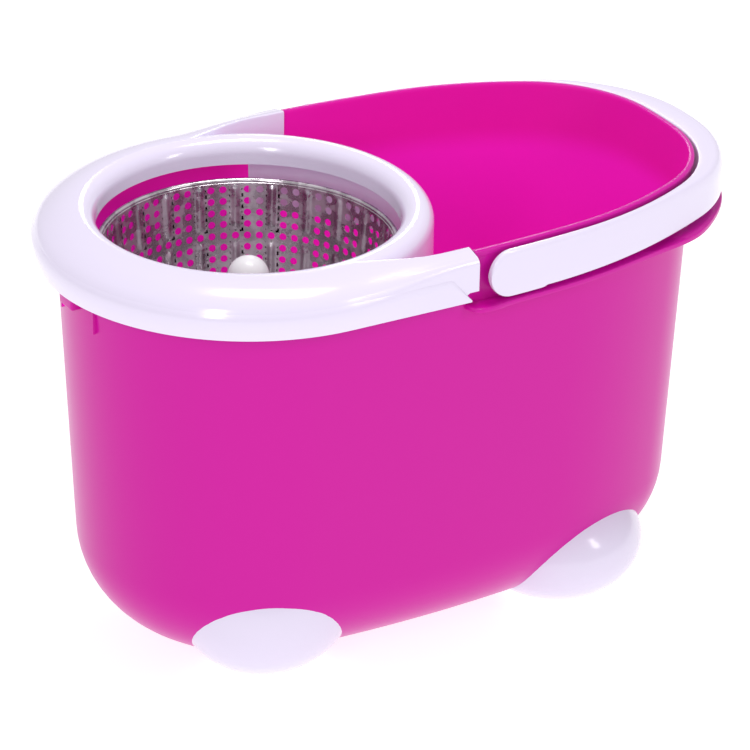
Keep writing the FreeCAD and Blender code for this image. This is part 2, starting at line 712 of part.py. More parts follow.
def make_bearing(place, bottom):
    """One ball bearing: outer ring, inner ring, seven balls and their retainer."""
    middle = "(%s + bearing_width / 2)" % bottom
    top = "%s + bearing_width" % bottom
    out_rise = "sqrt(groove_radius^2 - (bearing_land_out - ball_circle)^2)"
    in_rise = "sqrt(groove_radius^2 - (ball_circle - bearing_land_in)^2)"
    outer = new_body(place + "_bearing_outer_ring")
    turned(outer, place + "_outer", [
        ("bearing_land_out", bottom),
        ("bearing_outer", bottom),
        ("bearing_outer", top),
        ("bearing_land_out", top),
        ("bearing_land_out", "%s + %s" % (middle, out_rise), "groove_radius", -1),
        ("bearing_land_out", "%s - %s" % (middle, out_rise)),
    ])
    inner = new_body(place + "_bearing_inner_ring")
    turned(inner, place + "_inner", [
        ("shaft_radius + fit", bottom),
        ("bearing_land_in", bottom),
        ("bearing_land_in", "%s - %s" % (middle, in_rise), "groove_radius", -1),
        ("bearing_land_in", "%s + %s" % (middle, in_rise)),
        ("bearing_land_in", top),
        ("shaft_radius + fit", top),
    ])
    balls = new_body(place + "_bearing_balls")
    ball = turned(balls, place + "_ball", half_disc("ball_radius", middle), centre=("ball_circle", "0"))
    polar(balls, place + "_ball_circle", ball, BALLS)
    cage = new_body(place + "_bearing_cage")
    turned(cage, place + "_cage_ring", box_corners("ball_circle - cage_half", middle + " - cage_low",
                                                   "ball_circle + cage_half", middle + " + cage_high"))
    pocket = turned(cage, place + "_cage_pocket", half_disc("(ball_radius + 0.2)", middle),
                    kind="Groove", centre=("ball_circle", "0"))
    polar(cage, place + "_cage_pockets", pocket, BALLS)
    return [outer, inner, balls, cage]


BALLS = 7


def make_spindle_small_parts():
    """The spacer sleeve, the retaining clip and the rubber slinger that rides on the clamp plate's sleeve."""
    spacer = new_body("spacer_sleeve")
    turned(spacer, "spacer", box_corners("shaft_radius + fit", "lower_bearing_z + bearing_width",
                                         "bearing_land_in - 0.3", "upper_bearing_z"))
    clip = new_body("retaining_clip")
    turned(clip, "clip", box_corners("shaft_radius - clip_bite + fit", "clip_bottom + 0.05",
                                     "bearing_land_in - 0.3", "clip_bottom + clip_thick - 0.05"), Angle=320)
    slinger = new_body("water_slinger")
    turned(slinger, "slinger", [
        ("bearing_land_in - 0.08", "slinger_bottom"),
        ("slinger_skirt - slinger_wall", "slinger_bottom"),
        ("slinger_skirt - slinger_wall", "slinger_bottom - slinger_drop"),
        ("slinger_skirt", "slinger_bottom - slinger_drop"),
        ("slinger_skirt", "slinger_bottom + slinger_wall"),
        ("bearing_land_in - 0.08", "slinger_bottom + slinger_wall"),
    ])
    return [spacer, clip, slinger]


def make_pedestal():
    """The bearing pedestal that stands on the tub floor, and the gasket under its foot."""
    body = new_body("bearing_pedestal")
    foot = "(floor_top + gasket_thick)"
    pocket = "bearing_outer + fit"
    turned(body, "pedestal", [
        ("pedestal_foot", foot),
        ("pedestal_foot", foot + " + pedestal_flange"),
        ("pedestal_base", foot + " + pedestal_flange"),
        ("pedestal_neck + 4", "lower_bearing_z"),
        ("pedestal_neck", "lower_bearing_z + 50"),
        ("pedestal_neck", "pedestal_top"),
        (pocket, "pedestal_top"),
        (pocket, "upper_bearing_z"),
        ("bearing_outer - 1.8", "upper_bearing_z"),
        ("bearing_outer - 1.8", "lower_bearing_z + bearing_width"),
        (pocket, "lower_bearing_z + bearing_width"),
        (pocket, "lower_bearing_z - 4"),
        ("pedestal_neck", "lower_bearing_z - 10"),
        ("pedestal_base - pedestal_wall", foot),
    ])
    discs(body, "pedestal_foot_holes", "screw_radius + screw_clear", PEDESTAL_SCREWS, foot + " + pedestal_flange",
          "pedestal_flange + 1", "Pocket")
    gasket = new_body("pedestal_gasket")
    turned(gasket, "gasket", box_corners("pedestal_base - pedestal_wall", "floor_top", "pedestal_foot", foot))
    discs(gasket, "gasket_holes", "screw_radius + screw_clear", PEDESTAL_SCREWS, foot, "gasket_thick + 1", "Pocket")
    return [body, gasket]


def make_handle():
    """The bail handle: a strap round the rear of the rim with rounded ends and two moulded trunnions."""
    body = new_body("bail_handle")
    plan = new_sketch(body, "strap_plan", "XY_Plane", "strap_bottom")
    draw_band(plan, (TUB, "strap_gap"), (STRAP, "0"), "pivot_x - (strap_top - strap_bottom) / 2")
    strap = feature(body, "Pad", "strap", plan, Length="strap_top - strap_bottom")
    end = [
        ("pivot_x - strap_top + strap_bottom", "strap_bottom - 2"),
        ("pivot_x", "strap_bottom - 2"),
        ("pivot_x", "strap_bottom", "(strap_top - strap_bottom) / 2", -1),
        ("pivot_x - (strap_top - strap_bottom) / 2", "(strap_top + strap_bottom) / 2",
         "(strap_top - strap_bottom) / 2", -1),
        ("pivot_x", "strap_top"),
        ("pivot_x", "strap_top + 2"),
        ("pivot_x - strap_top + strap_bottom", "strap_top + 2"),
    ]
    strap = extruded(body, "strap_ends", end, "XZ_Plane", "0", "3 * half_width", "Pocket", Midplane=True)
    rounded(body, "strap_soft_top", strap, strap_outer_edges(strap.Shape, value("strap_top")), "strap_round")
    for side, lift in (("right", "trunnion_inner"), ("left", "-(half_width + strap_gap + 1)")):
        sketch = new_sketch(body, "trunnion_circle_" + side, "XZ_Plane", lift)
        draw_circles(sketch, "trunnion_radius", [("pivot_x", "pivot_z")])
        feature(body, "Pad", "trunnion_" + side, sketch, Length="half_width + strap_gap + 1 - trunnion_inner")
    return body


def strap_outer_edges(shape, height):
    """Returns the level edges of the strap's outer face at one height."""
    centres, radii, joints, front_joint = outline_plan(STRAP, "0")

    def is_outer(edge):
        middle = edge.valueAt((edge.FirstParameter + edge.LastParameter) / 2)
        upper = FreeCAD.Vector(middle.x, abs(middle.y), 0)
        return any(abs((upper - c).Length - r) < 0.05 for c, r in zip(centres, radii))

    return flat_edges(shape, height, is_outer)


def ellipsoid(body, name, mode, centre, radius, half, shrink):
    """Adds or removes a flattened ball whose lowest point lies foot_sink below the floor before it is trimmed."""
    item = body.newObject("PartDesign::%sEllipsoid" % mode, name)
    item.setExpression("Radius1", bound("%s - %s" % (half, shrink)))
    item.setExpression("Radius2", bound("%s - %s" % (radius, shrink)))
    item.setExpression("Radius3", bound("%s - %s" % (radius, shrink)))
    for axis, place in zip("xyz", (centre[0], centre[1], "%s - foot_sink" % half)):
        item.setExpression("Placement.Base." + axis, bound(place))
    doc.recompute()
    return item


def make_feet():
    """Four hollow feet, trimmed to the underside of the tub, each screwed to a boss."""
    envelope = vessel("tub_envelope", "0", "underside", "bottom_round", True)
    feet = []
    for place, centres, radius, half in (("front", FRONT_FEET, "front_foot_radius", "front_foot_half"),
                                         ("rear", REAR_FEET, "rear_foot_radius", "rear_foot_half")):
        for side, centre in zip(("left", "right"), centres):
            label = "foot_%s_%s" % (place, side)
            dome = new_body(label + "_dome", True)
            ellipsoid(dome, label + "_outside", "Additive", centre, radius, half, "0")
            ellipsoid(dome, label + "_inside", "Subtractive", centre, radius, half, "foot_wall")
            discs(dome, label + "_flat", radius, [centre], "0", "2 * foot_sink", "Pocket")
            sole = "%s * sqrt(1 - ((%s - foot_sink) / %s)^2) - sole_clear" % (radius, half, half)
            discs(dome, label + "_sole", sole, [centre], "0", "foot_wall")
            discs(dome, label + "_post", "foot_post", [centre], "foot_wall", "foot_post_top - foot_wall")
            discs(dome, label + "_recess", "foot_recess_radius", [centre], "foot_recess", "2 * foot_recess", "Pocket")
            discs(dome, label + "_hole", "screw_radius + screw_clear", [centre], "foot_post_top", "foot_post_top", "Pocket")
            foot = doc.addObject("Part::Cut", "Cut_" + label)
            foot.Base = dome
            foot.Tool = envelope
            foot.Label = label
            foot.setExpression("Placement.Base.x", "Sizes.spin_x")
            feet.append(foot)
    doc.recompute()
    return feet


parts = [make_tub(), make_collar(), make_basket(), make_hub(), make_clamp_plate()]
parts.append(make_screws("hub_screws", ring_of(4, "hub_screw_circle", 45), "basket_floor - plate_thick", 1,
                         "plate_thick + sheet + hub_screw_deep - 1", "screw_head_radius"))
parts.append(make_shaft())
parts += make_bearing("upper", "upper_bearing_z")
parts += make_bearing("lower", "lower_bearing_z")
parts += make_spindle_small_parts()
parts += make_pedestal()
parts.append(make_screws("pedestal_screws", PEDESTAL_SCREWS, "floor_top + gasket_thick + pedestal_flange", -1,
                         "gasket_thick + pedestal_flange + pedestal_screw_deep - 1", "screw_head_radius"))
parts.append(make_handle())
parts += make_feet()
parts.append(make_screws("foot_screws", FRONT_FEET + REAR_FEET, "foot_recess", 1,
                         "foot_post_top - foot_recess + foot_screw_deep - 1", "foot_screw_head"))

doc.recompute()
for item in doc.Objects:
    if "Invalid" in item.State or "Error" in item.State:
        raise RuntimeError("%s did not rebuild: %s" % (item.Label, item.State))
os.makedirs("parts", exist_ok=True)
for part in parts:
    if part.Shape.isNull() or not part.Shape.isValid() or part.Shape.Volume <= 0:
        raise RuntimeError("%s has no valid solid" % part.Label)
    part.Shape.exportStep("parts/%s.step" % part.Label)
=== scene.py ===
import json
import logging
import math
from dataclasses import dataclass
from enum import Enum
from typing import Callable, Iterable, Sequence

import bmesh
import bpy
from mathutils import Matrix, Vector


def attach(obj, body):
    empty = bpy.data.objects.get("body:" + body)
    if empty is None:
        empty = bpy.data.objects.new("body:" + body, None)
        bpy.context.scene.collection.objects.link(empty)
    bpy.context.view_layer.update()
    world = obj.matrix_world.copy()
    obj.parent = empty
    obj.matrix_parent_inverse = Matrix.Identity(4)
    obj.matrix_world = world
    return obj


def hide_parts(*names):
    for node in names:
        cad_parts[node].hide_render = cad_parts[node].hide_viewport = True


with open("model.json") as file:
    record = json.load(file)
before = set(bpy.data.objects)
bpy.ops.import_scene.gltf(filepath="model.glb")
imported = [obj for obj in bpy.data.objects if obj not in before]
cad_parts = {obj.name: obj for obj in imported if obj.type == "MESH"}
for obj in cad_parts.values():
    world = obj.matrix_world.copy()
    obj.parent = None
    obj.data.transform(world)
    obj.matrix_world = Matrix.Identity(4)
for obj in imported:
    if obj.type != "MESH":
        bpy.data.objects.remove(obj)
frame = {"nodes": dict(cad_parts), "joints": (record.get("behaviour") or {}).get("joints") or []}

# A spin-mop bucket. Shapes are worked out in millimetres with the basket's spin axis at X = 0 and the floor at
# Z = 0, and moved to the frame's own place in metres when a mesh is made. +X runs to the wash bay, +Y to the left.

LOG = logging.getLogger("spin_mop")
Pair = tuple[float, float]
Point = tuple[float, float, float]
Colour = tuple[float, float, float, float]
SPIN_X = next(j for j in frame["joints"] if j["name"] == "basket_spin")["pos_m"][0]
MILLI = 0.001
MEET = 1e-6  # millimetres: path ends closer than this are one point
WELD = 2e-6  # metres: vertices closer than this become one
THIN = 1e-7  # metres: edges shorter than this go


class Body(Enum):
    """The bodies that move on their own."""

    BUCKET = "bucket"
    SPINNER = "spinner"
    HANDLE = "handle"


def blend_value(a: float, b: float, t: float) -> float:
    """Returns the value a share t of the way from a to b."""
    return a + (b - a) * t


def ease(low: float, high: float, x: float) -> float:
    """Returns 0 below low, 1 above high and an S-shaped ramp between."""
    t = min(max((x - low) / (high - low), 0.0), 1.0)
    return t * t * (3 - 2 * t)


def arc(centre: Pair, radius: float, start: float, end: float, steps: int) -> list[Pair]:
    """Returns points along an arc.

    Args:
        centre: the arc's centre.
        radius: its radius.
        start: the first point's angle in degrees.
        end: the last point's angle in degrees.
        steps: how many pieces the arc is cut into.

    Returns:
        steps + 1 points, both ends included.
    """
    points = []
    for i in range(steps + 1):
        angle = math.radians(blend_value(start, end, i / steps))
        points.append((centre[0] + radius * math.cos(angle), centre[1] + radius * math.sin(angle)))
    return points


def inset(path: Sequence[Pair], depth: float) -> list[Pair]:
    """Moves an open path to its right-hand side, for a wall's other face.

    Args:
        path: the path.
        depth: how far it moves.

    Returns:
        The moved path, with as many points.
    """
    moved = []
    for i, (x, y) in enumerate(path):
        before = path[max(i - 1, 0)]
        after = path[min(i + 1, len(path) - 1)]
        dx, dy = after[0] - before[0], after[1] - before[1]
        length = math.hypot(dx, dy) or 1.0
        moved.append((x + depth * dy / length, y - depth * dx / length))
    return moved


def walk(points: Sequence[Point], shares: Iterable[float]) -> list[Point]:
    """Returns points at shares of a polyline's length.

    Args:
        points: the polyline.
        shares: rising numbers from 0 to 1.

    Returns:
        One point on the polyline for each share.
    """
    lengths = [0.0]
    for a, b in zip(points, points[1:]):
        lengths.append(lengths[-1] + math.dist(a, b))
    found, k = [], 0
    for share in shares:
        goal = share * lengths[-1]
        while k < len(lengths) - 2 and lengths[k + 1] < goal:
            k += 1
        t = (goal - lengths[k]) / max(lengths[k + 1] - lengths[k], 1e-9)
        t = min(max(t, 0.0), 1.0)
        found.append(tuple(blend_value(p, q, t) for p, q in zip(points[k], points[k + 1])))
    return found


class Shell:
    """Collects vertices and faces, in millimetres about the spin axis, and makes them one mesh."""

    def __init__(self) -> None:
        """Starts with nothing in it."""
        self.points: list[Point] = []
        self.faces: list[tuple[int, ...]] = []

    def ring(self, points: Iterable[Point]) -> list[int]:
        """Adds a row of points.

        Args:
            points: the points.

        Returns:
            Their numbers in the shell.
        """
        start = len(self.points)
        self.points.extend(points)
        return list(range(start, len(self.points)))

    def strip(self, a: Sequence[int], b: Sequence[int], closed: bool) -> None:
        """Joins two rows of equal length with four-sided faces.

        Args:
            a: the first row's numbers.
            b: the second row's numbers.
            closed: whether each row is a ring.
        """
        count = len(a) if closed else len(a) - 1
        for i in range(count):
            j = (i + 1) % len(a)
            self.faces.append((a[i], a[j], b[j], b[i]))

    def loft(self, rows: Sequence[Sequence[Point]], around: bool, along: bool = False, caps: bool = True) -> None:
        """Joins rows of points into a skin.

        Args:
            rows: the rows, all with the same number of points.
            around: whether each row is a closed ring.
            along: whether the last row joins the first one.
            caps: whether closed rows get a face at each end.
        """
        numbers = [self.ring(row) for row in rows]
        pairs = list(zip(numbers, numbers[1:]))
        if along:
            pairs.append((numbers[-1], numbers[0]))
        for a, b in pairs:
            self.strip(a, b, around)
        if around and caps and not along:
            self.faces.append(tuple(reversed(numbers[0])))
            self.faces.append(tuple(numbers[-1]))

    def turned(self, profile: Sequence[Pair], steps: int, centre: Pair = (0.0, 0.0)) -> None:
        """Turns a path about an upright axis; its ends lie on the axis or meet each other.

        Args:
            profile: the path as (r, z).
            steps: how many places round the axis the path is set at.
            centre: where the axis stands in plan.
        """
        closed = math.dist(profile[0], profile[-1]) < MEET
        path = list(profile[:-1]) if closed else list(profile)
        rows = []
        for i in range(steps):
            angle = 2 * math.pi * i / steps
            cos, sin = math.cos(angle), math.sin(angle)
            rows.append([(centre[0] + r * cos, centre[1] + r * sin, z) for r, z in path])
        self.loft(rows, around=closed, along=True, caps=False)

    def block(self, low: Point, high: Point, soft: float) -> None:
        """Adds a block with rounded edges between two corners.

        Args:
            low: its lowest corner.
            high: its highest corner.
            soft: the width of its rounded edges.
        """
        bm = bmesh.new()
        bmesh.ops.create_cube(bm, size=1.0)
        for v in bm.verts:
            v.co = Vector([low[k] if v.co[k] < 0 else high[k] for k in range(3)])
        bmesh.ops.bevel(bm, geom=bm.edges[:], offset=soft, segments=4, profile=0.5, affect="EDGES")
        self.take(bm)

    def take(self, bm: bmesh.types.BMesh) -> None:
        """Adds a bmesh's faces and frees it.

        Args:
            bm: the bmesh, in millimetres.
        """
        start = len(self.points)
        bm.verts.index_update()
        self.points.extend(tuple(v.co) for v in bm.verts)
        self.faces.extend(tuple(start + v.index for v in f.verts) for f in bm.faces)
        bm.free()

    def finish(self, name: str, crease: float = 38.0) -> bpy.types.Object:
        """Makes the object.

        Args:
            name: the piece's name.
            crease: edges sharper than this many degrees stay sharp.

        Returns:
            The object, with its place in its mesh.
        """
        mesh = bpy.data.meshes.new(name)
        moved = [(x * MILLI + SPIN_X, y * MILLI, z * MILLI) for x, y, z in self.points]
        mesh.from_pydata(moved, [], self.faces)
        bm = bmesh.new()
        bm.from_mesh(mesh)
        bmesh.ops.remove_doubles(bm, verts=bm.verts[:], dist=WELD)
        bmesh.ops.dissolve_degenerate(bm, edges=bm.edges[:], dist=THIN)
        bmesh.ops.recalc_face_normals(bm, faces=bm.faces[:])
        bm.to_mesh(mesh)
        bm.free()
        soften(mesh, crease)
        obj = bpy.data.objects.new(name, mesh)
        bpy.context.collection.objects.link(obj)
        return obj


def soften(mesh: bpy.types.Mesh, crease: float) -> None:
    """Shades a mesh smooth, apart from its sharp edges.

    Args:
        mesh: the mesh.
        crease: edges sharper than this many degrees stay sharp.
    """
    mesh.polygons.foreach_set("use_smooth", [True] * len(mesh.polygons))
    mesh.set_sharp_from_angle(angle=math.radians(crease))
    mesh.update()


@dataclass(frozen=True)
class Station:
    """One place on a plan outline: the arc it lies on and the direction it faces."""

    centre: Pair
    radius: float
    angle: float

    def at(self, offset: float) -> Pair:
        """Returns the point moved outwards by offset."""
        reach = self.radius + offset
        return (self.centre[0] + reach * math.cos(self.angle), self.centre[1] + reach * math.sin(self.angle))

    def mirrored(self) -> "Station":
        """Returns the same place on the other side of the bucket."""
        return Station((self.centre[0], -self.centre[1]), self.radius, -self.angle)


@dataclass(frozen=True)
class PlanOutline:
    """A plan outline of tangent arcs, the same on both sides: front, side, shoulder, corner and back."""

    front: float
    half_width: float
    side: float
    shoulder_start: float
    shoulder: float
    corner: float
    back: float
    end: float

    def arcs(self) -> list[tuple[Pair, float, float, float]]:
        """Works out the left half's arcs.

        Returns:
            From the rear to the front, each arc's centre, radius, first angle and last angle.
        """
        side_x = math.sqrt((self.side - self.front) ** 2 - (self.side - self.half_width) ** 2)
        side = Vector((side_x, self.half_width - self.side))
        joint_y = side.y + math.sqrt(self.side**2 - (self.shoulder_start - side.x) ** 2)
        joint = Vector((self.shoulder_start, joint_y))
        shoulder = joint + (side - joint).normalized() * self.shoulder
        back = Vector((self.end - self.back, 0.0))
        span = (back - shoulder).length
        gap_a, gap_b = self.shoulder - self.corner, self.back - self.corner
        reach = (gap_a**2 - gap_b**2 + span**2) / (2 * span)
        rise = math.sqrt(gap_a**2 - reach**2)
        along = (back - shoulder).normalized()
        across = Vector((-along.y, along.x))
        corner = max((shoulder + along * reach + across * (rise * s) for s in (1, -1)), key=lambda p: p.y)

        def facing(a: Vector, b: Vector) -> float:
            """Returns the direction from a to b."""
            return math.atan2(b.y - a.y, b.x - a.x)

        back_end = facing(back, corner) if self.back > self.corner else facing(corner, back)
        corner_end = facing(shoulder, corner)
        shoulder_end = facing(side, joint)
        side_end = facing(side, Vector((0.0, 0.0)))
        return [
            (tuple(back), self.back, 0.0, back_end),
            (tuple(corner), self.corner, back_end, corner_end),
            (tuple(shoulder), self.shoulder, corner_end, shoulder_end),
            (tuple(side), self.side, shoulder_end, side_end),
            ((0.0, 0.0), self.front, side_end, math.pi),
        ]

    def stations(self, spacing: float, extra: Sequence[float] = ()) -> list[Station]:
        """Returns the whole outline's stations, anticlockwise from the rear.

        Args:
            spacing: the largest distance between neighbours.
            extra: X places on the side arc that get a station of their own.

        Returns:
            The stations.
        """
        half: list[Station] = []
        for centre, radius, start, end in self.arcs():
            count = max(2, math.ceil(radius * abs(end - start) / spacing))
            angles = [blend_value(start, end, i / count) for i in range(count)]
            if radius == self.side:
                angles += [math.acos((x - centre[0]) / radius) for x in extra]
            half += [Station(centre, radius, a) for a in sorted(angles)]
        return half + [Station((0.0, 0.0), self.front, math.pi)] + [s.mirrored() for s in reversed(half[1:])]

    def sweep(self, offset: float, start_x: float, spacing: float = 2.0) -> list[Point]:
        """Follows the outline round the rear.

        Args:
            offset: how far outside the outline to go.
            start_x: where the path starts and ends.
            spacing: the largest distance between neighbours.

        Returns:
            Points from the left side round the rear to the right side, at Z = 0.
        """
        left = []
        for station in self.stations(spacing):
            x, y = station.at(offset)
            if y >= 0:
                left.append((x, y, 0.0))
        left = [p for p in left if p[0] > start_x]
        last, (cx, cy), radius = left[-1], self.arcs()[3][0], self.side + offset
        end_y = cy + math.sqrt(radius**2 - (start_x - cx) ** 2)
        left.append((start_x, end_y, 0.0))
        return left[::-1] + [(x, -y, z) for x, y, z in left[1:]]


TUB_RIM = PlanOutline(
    front=132.4,
    half_width=135.8,
    side=1016.0,
    shoulder_start=183.0,
    shoulder=271.0,
    corner=97.0,
    back=420.0,
    end=333.6,
)
STRAP_EDGE = PlanOutline(
    front=140.4,
    half_width=143.9,
    side=1004.0,
    shoulder_start=163.0,
    shoulder=400.0,
    corner=105.4,
    back=234.0,
    end=363.0,
)


# ---------------------------------------------------------------------------------------------------------------
# Finishes


class Wiring:
    """Adds nodes to a shader tree and links them."""

    def __init__(self, tree: bpy.types.NodeTree) -> None:
        """Works on the given tree."""
        self.tree = tree

    def node(self, kind: str, **settings: object) -> bpy.types.Node:
        """Adds a node and sets its properties.

        Args:
            kind: the node's type.
            settings: its properties, by name.

        Returns:
            The node.
        """
        made = self.tree.nodes.new(kind)
        for key, setting in settings.items():
            setattr(made, key, setting)
        return made

    def join(self, source: bpy.types.NodeSocket, target: bpy.types.NodeSocket) -> None:
        """Links two sockets."""
        self.tree.links.new(source, target)

    def feed(self, target: bpy.types.NodeSocket, value: object) -> None:
        """Links a socket into the target, or sets the target's own value.

        Args:
            target: the input socket.
            value: a socket to link, or a plain value.
        """
        if isinstance(value, bpy.types.NodeSocket):
            self.join(value, target)
        else:
            target.default_value = value

    def maths(self, operation: str, *values: object) -> bpy.types.NodeSocket:
        """Adds a Math node.

        Args:
            operation: what it works out.
            values: sockets or numbers, in the order of its inputs.

        Returns:
            Its result.
        """
        node = self.node("ShaderNodeMath", operation=operation)
        for i, value in enumerate(values):
            self.feed(node.inputs[i], value)
        return node.outputs[0]

    def noise(
        self, where: bpy.types.NodeSocket, scale: object, detail: float, rough: float = 0.5
    ) -> bpy.types.NodeSocket:
        """Adds a noise texture.

        Args:
            where: the place it is read at.
            scale: its waves to the metre.
            detail: how many finer layers it has.
            rough: how strong the finer layers are.

        Returns:
            Its value, about 0 to 1.
        """
        node = self.node("ShaderNodeTexNoise")
        self.join(where, node.inputs["Vector"])
        self.feed(node.inputs["Scale"], scale)
        node.inputs["Detail"].default_value = detail
        node.inputs["Roughness"].default_value = rough
        return node.outputs["Fac"]

    def ramp(
        self, value: object, low: float, high: float, out_low: float = 0.0, out_high: float = 1.0
    ) -> bpy.types.NodeSocket:
        """Adds a smooth Map Range node.

        Args:
            value: the number to map.
            low: where the ramp starts.
            high: where it ends.
            out_low: the result below the ramp.
            out_high: the result above it.

        Returns:
            Its result.
        """
        node = self.node("ShaderNodeMapRange", interpolation_type="SMOOTHSTEP")
        self.feed(node.inputs["Value"], value)
        for name, number in (("From Min", low), ("From Max", high), ("To Min", out_low), ("To Max", out_high)):
            node.inputs[name].default_value = number
        return node.outputs["Result"]

    def mix(self, factor: object, a: object, b: object) -> bpy.types.NodeSocket:
        """Adds a colour mix.

        Args:
            factor: the share of b.
            a: the first colour.
            b: the second colour.

        Returns:
            The mixed colour.
        """
        node = self.node("ShaderNodeMix", data_type="RGBA")
        self.feed(node.inputs["Factor"], factor)
        self.feed(node.inputs["A"], a)
        self.feed(node.inputs["B"], b)
        return next(s for s in node.outputs if s.type == "RGBA")

    def here(self) -> bpy.types.NodeSocket:
        """Returns the Object coordinates."""
        return self.node("ShaderNodeTexCoord").outputs["Object"]


def shader_group(
    name: str, inputs: Sequence[tuple[str, str, object]], outputs: Sequence[tuple[str, str]]
) -> tuple[bpy.types.NodeTree, Wiring, bpy.types.Node, bpy.types.Node]:
    """Starts a shader node group.

    Args:
        name: the group's name.
        inputs: each input's name, socket type and starting value.
        outputs: each output's name and socket type.

    Returns:
        The tree, its wiring, and its input and output nodes.
    """
    tree = bpy.data.node_groups.new(name, "ShaderNodeTree")
    for label, kind, start in inputs:
        tree.interface.new_socket(name=label, in_out="INPUT", socket_type=kind).default_value = start
    for label, kind in outputs:
        tree.interface.new_socket(name=label, in_out="OUTPUT", socket_type=kind)
    wires = Wiring(tree)
    return tree, wires, wires.node("NodeGroupInput"), wires.node("NodeGroupOutput")


class SharedEffects:
    """The surface effects that several finishes share; the scales are waves to the metre."""

    patch_scale = 26.0
    cloud_scale = 9.0
    speck_scale = 420.0
    low_reach = 0.05
    line_stretch = 0.05

    def __init__(self) -> None:
        """Builds every group once."""
        self.grain = self.moulded_grain()
        self.soil = self.handling_soil()
        self.metal = self.worked_metal()

    def moulded_grain(self) -> bpy.types.NodeTree:
        """Makes the fine grain and slow flow waves of moulded plastic.

        Returns:
            The group, which puts out a height and a dullness.
        """
        number = "NodeSocketFloat"
        tree, w, given, out = shader_group(
            "moulded_grain",
            [
                ("Grain Scale", number, 1400.0),
                ("Grain", number, 0.2),
                ("Flow Scale", number, 14.0),
                ("Flow", number, 1.0),
            ],
            [("Height", number), ("Dullness", number)],
        )
        here = w.here()
        fine = w.maths("MULTIPLY", w.noise(here, given.outputs["Grain Scale"], 2.0), given.outputs["Grain"])
        slow = w.maths("MULTIPLY", w.noise(here, given.outputs["Flow Scale"], 2.0), given.outputs["Flow"])
        w.join(w.maths("ADD", fine, slow), out.inputs["Height"])
        patch = w.noise(here, self.patch_scale, 2.0, 0.5)
        w.join(w.ramp(patch, 0.2, 0.85), out.inputs["Dullness"])
        return tree

    def handling_soil(self) -> bpy.types.NodeTree:
        """Makes faint rubbed and dusty patches that tint a colour, more of them near the floor.

        Returns:
            The group, which puts out a colour and a mask.
        """
        number, colour = "NodeSocketFloat", "NodeSocketColor"
        tree, w, given, out = shader_group(
            "handling_soil",
            [
                ("Clean", colour, (1, 1, 1, 1)),
                ("Worn", colour, (1, 1, 1, 1)),
                ("Amount", number, 0.2),
                ("Low Edge", number, 0.02),
            ],
            [("Colour", colour), ("Mask", number)],
        )
        here = w.here()
        split = w.node("ShaderNodeSeparateXYZ")
        w.join(here, split.inputs[0])
        cloud = w.ramp(w.noise(here, self.cloud_scale, 3.0, 0.5), 0.3, 0.8)
        speck = w.ramp(w.noise(here, self.speck_scale, 2.0), 0.66, 0.78)
        height = w.maths("SUBTRACT", split.outputs[2], given.outputs["Low Edge"])
        low = w.maths("SUBTRACT", 1.0, w.ramp(height, 0.0, self.low_reach))
        mask = w.maths("ADD", w.maths("MULTIPLY", cloud, 0.7), w.maths("MULTIPLY", speck, 0.25))
        mask = w.maths("ADD", mask, w.maths("MULTIPLY", low, 0.6))
        mask = w.maths("MINIMUM", w.maths("MULTIPLY", mask, given.outputs["Amount"]), 1.0)
        w.join(w.mix(mask, given.outputs["Clean"], given.outputs["Worn"]), out.inputs["Colour"])
        w.join(mask, out.inputs["Mask"])
        return tree

    def worked_metal(self) -> bpy.types.NodeTree:
        """Makes the turned lines, soft dents and mottled patches of pressed or turned steel.

        Returns:
            The group, which puts out a height and a mottle mask.
        """
        number = "NodeSocketFloat"
        tree, w, given, out = shader_group(
            "worked_metal",
            [
                ("Line Scale", number, 900.0),
                ("Lines", number, 0.4),
                ("Dents", number, 1.0),
                ("Patch Scale", number, 60.0),
            ],
            [("Height", number), ("Mottle", number)],
        )
        here = w.here()
        stretch = w.node("ShaderNodeMapping")
        stretch.inputs["Location"].default_value = (-SPIN_X * self.line_stretch, 0.0, 0.0)
        stretch.inputs["Scale"].default_value = (self.line_stretch, self.line_stretch, 1.0)
        w.join(here, stretch.inputs["Vector"])
        scale, patches = given.outputs["Line Scale"], given.outputs["Patch Scale"]
        lines = w.maths("MULTIPLY", w.noise(stretch.outputs[0], scale, 3.0), given.outputs["Lines"])
        dents = w.maths("MULTIPLY", w.noise(here, patches, 1.0), given.outputs["Dents"])
        w.join(w.maths("ADD", lines, dents), out.inputs["Height"])
        w.join(w.ramp(w.noise(here, patches, 3.0, 0.6), 0.4, 0.62), out.inputs["Mottle"])
        return tree


def start_material(name: str) -> tuple[bpy.types.Material, Wiring, bpy.types.Node]:
    """Starts a material.

    Args:
        name: its name.

    Returns:
        The material, its wiring and its Principled shader.
    """
    material = bpy.data.materials.new(name)
    material.use_nodes = True
    wires = Wiring(material.node_tree)
    return material, wires, material.node_tree.nodes["Principled BSDF"]


def place_group(wires: Wiring, tree: bpy.types.NodeTree, **values: object) -> bpy.types.Node:
    """Places a shared effect in a material.

    Args:
        wires: the material's wiring.
        tree: the effect's group.
        values: its inputs by name, with underscores for spaces.

    Returns:
        The group node.
    """
    node = wires.node("ShaderNodeGroup", node_tree=tree)
    for key, value in values.items():
        wires.feed(node.inputs[key.replace("_", " ")], value)
    return node


def raise_surface(
    wires: Wiring, shader: bpy.types.Node, height: bpy.types.NodeSocket, strength: float, depth: float
) -> None:
    """Adds a Bump node that feeds the shader's normal.

    Args:
        wires: the material's wiring.
        shader: the Principled shader.
        height: the height that the surface follows.
        strength: how much of the slope shows, from 0 to 1.
        depth: how deep a height of 1 is, in metres.
    """
    bump = wires.node("ShaderNodeBump")
    bump.inputs["Strength"].default_value = strength
    bump.inputs["Distance"].default_value = depth
    wires.join(height, bump.inputs["Height"])
    wires.join(bump.outputs["Normal"], shader.inputs["Normal"])


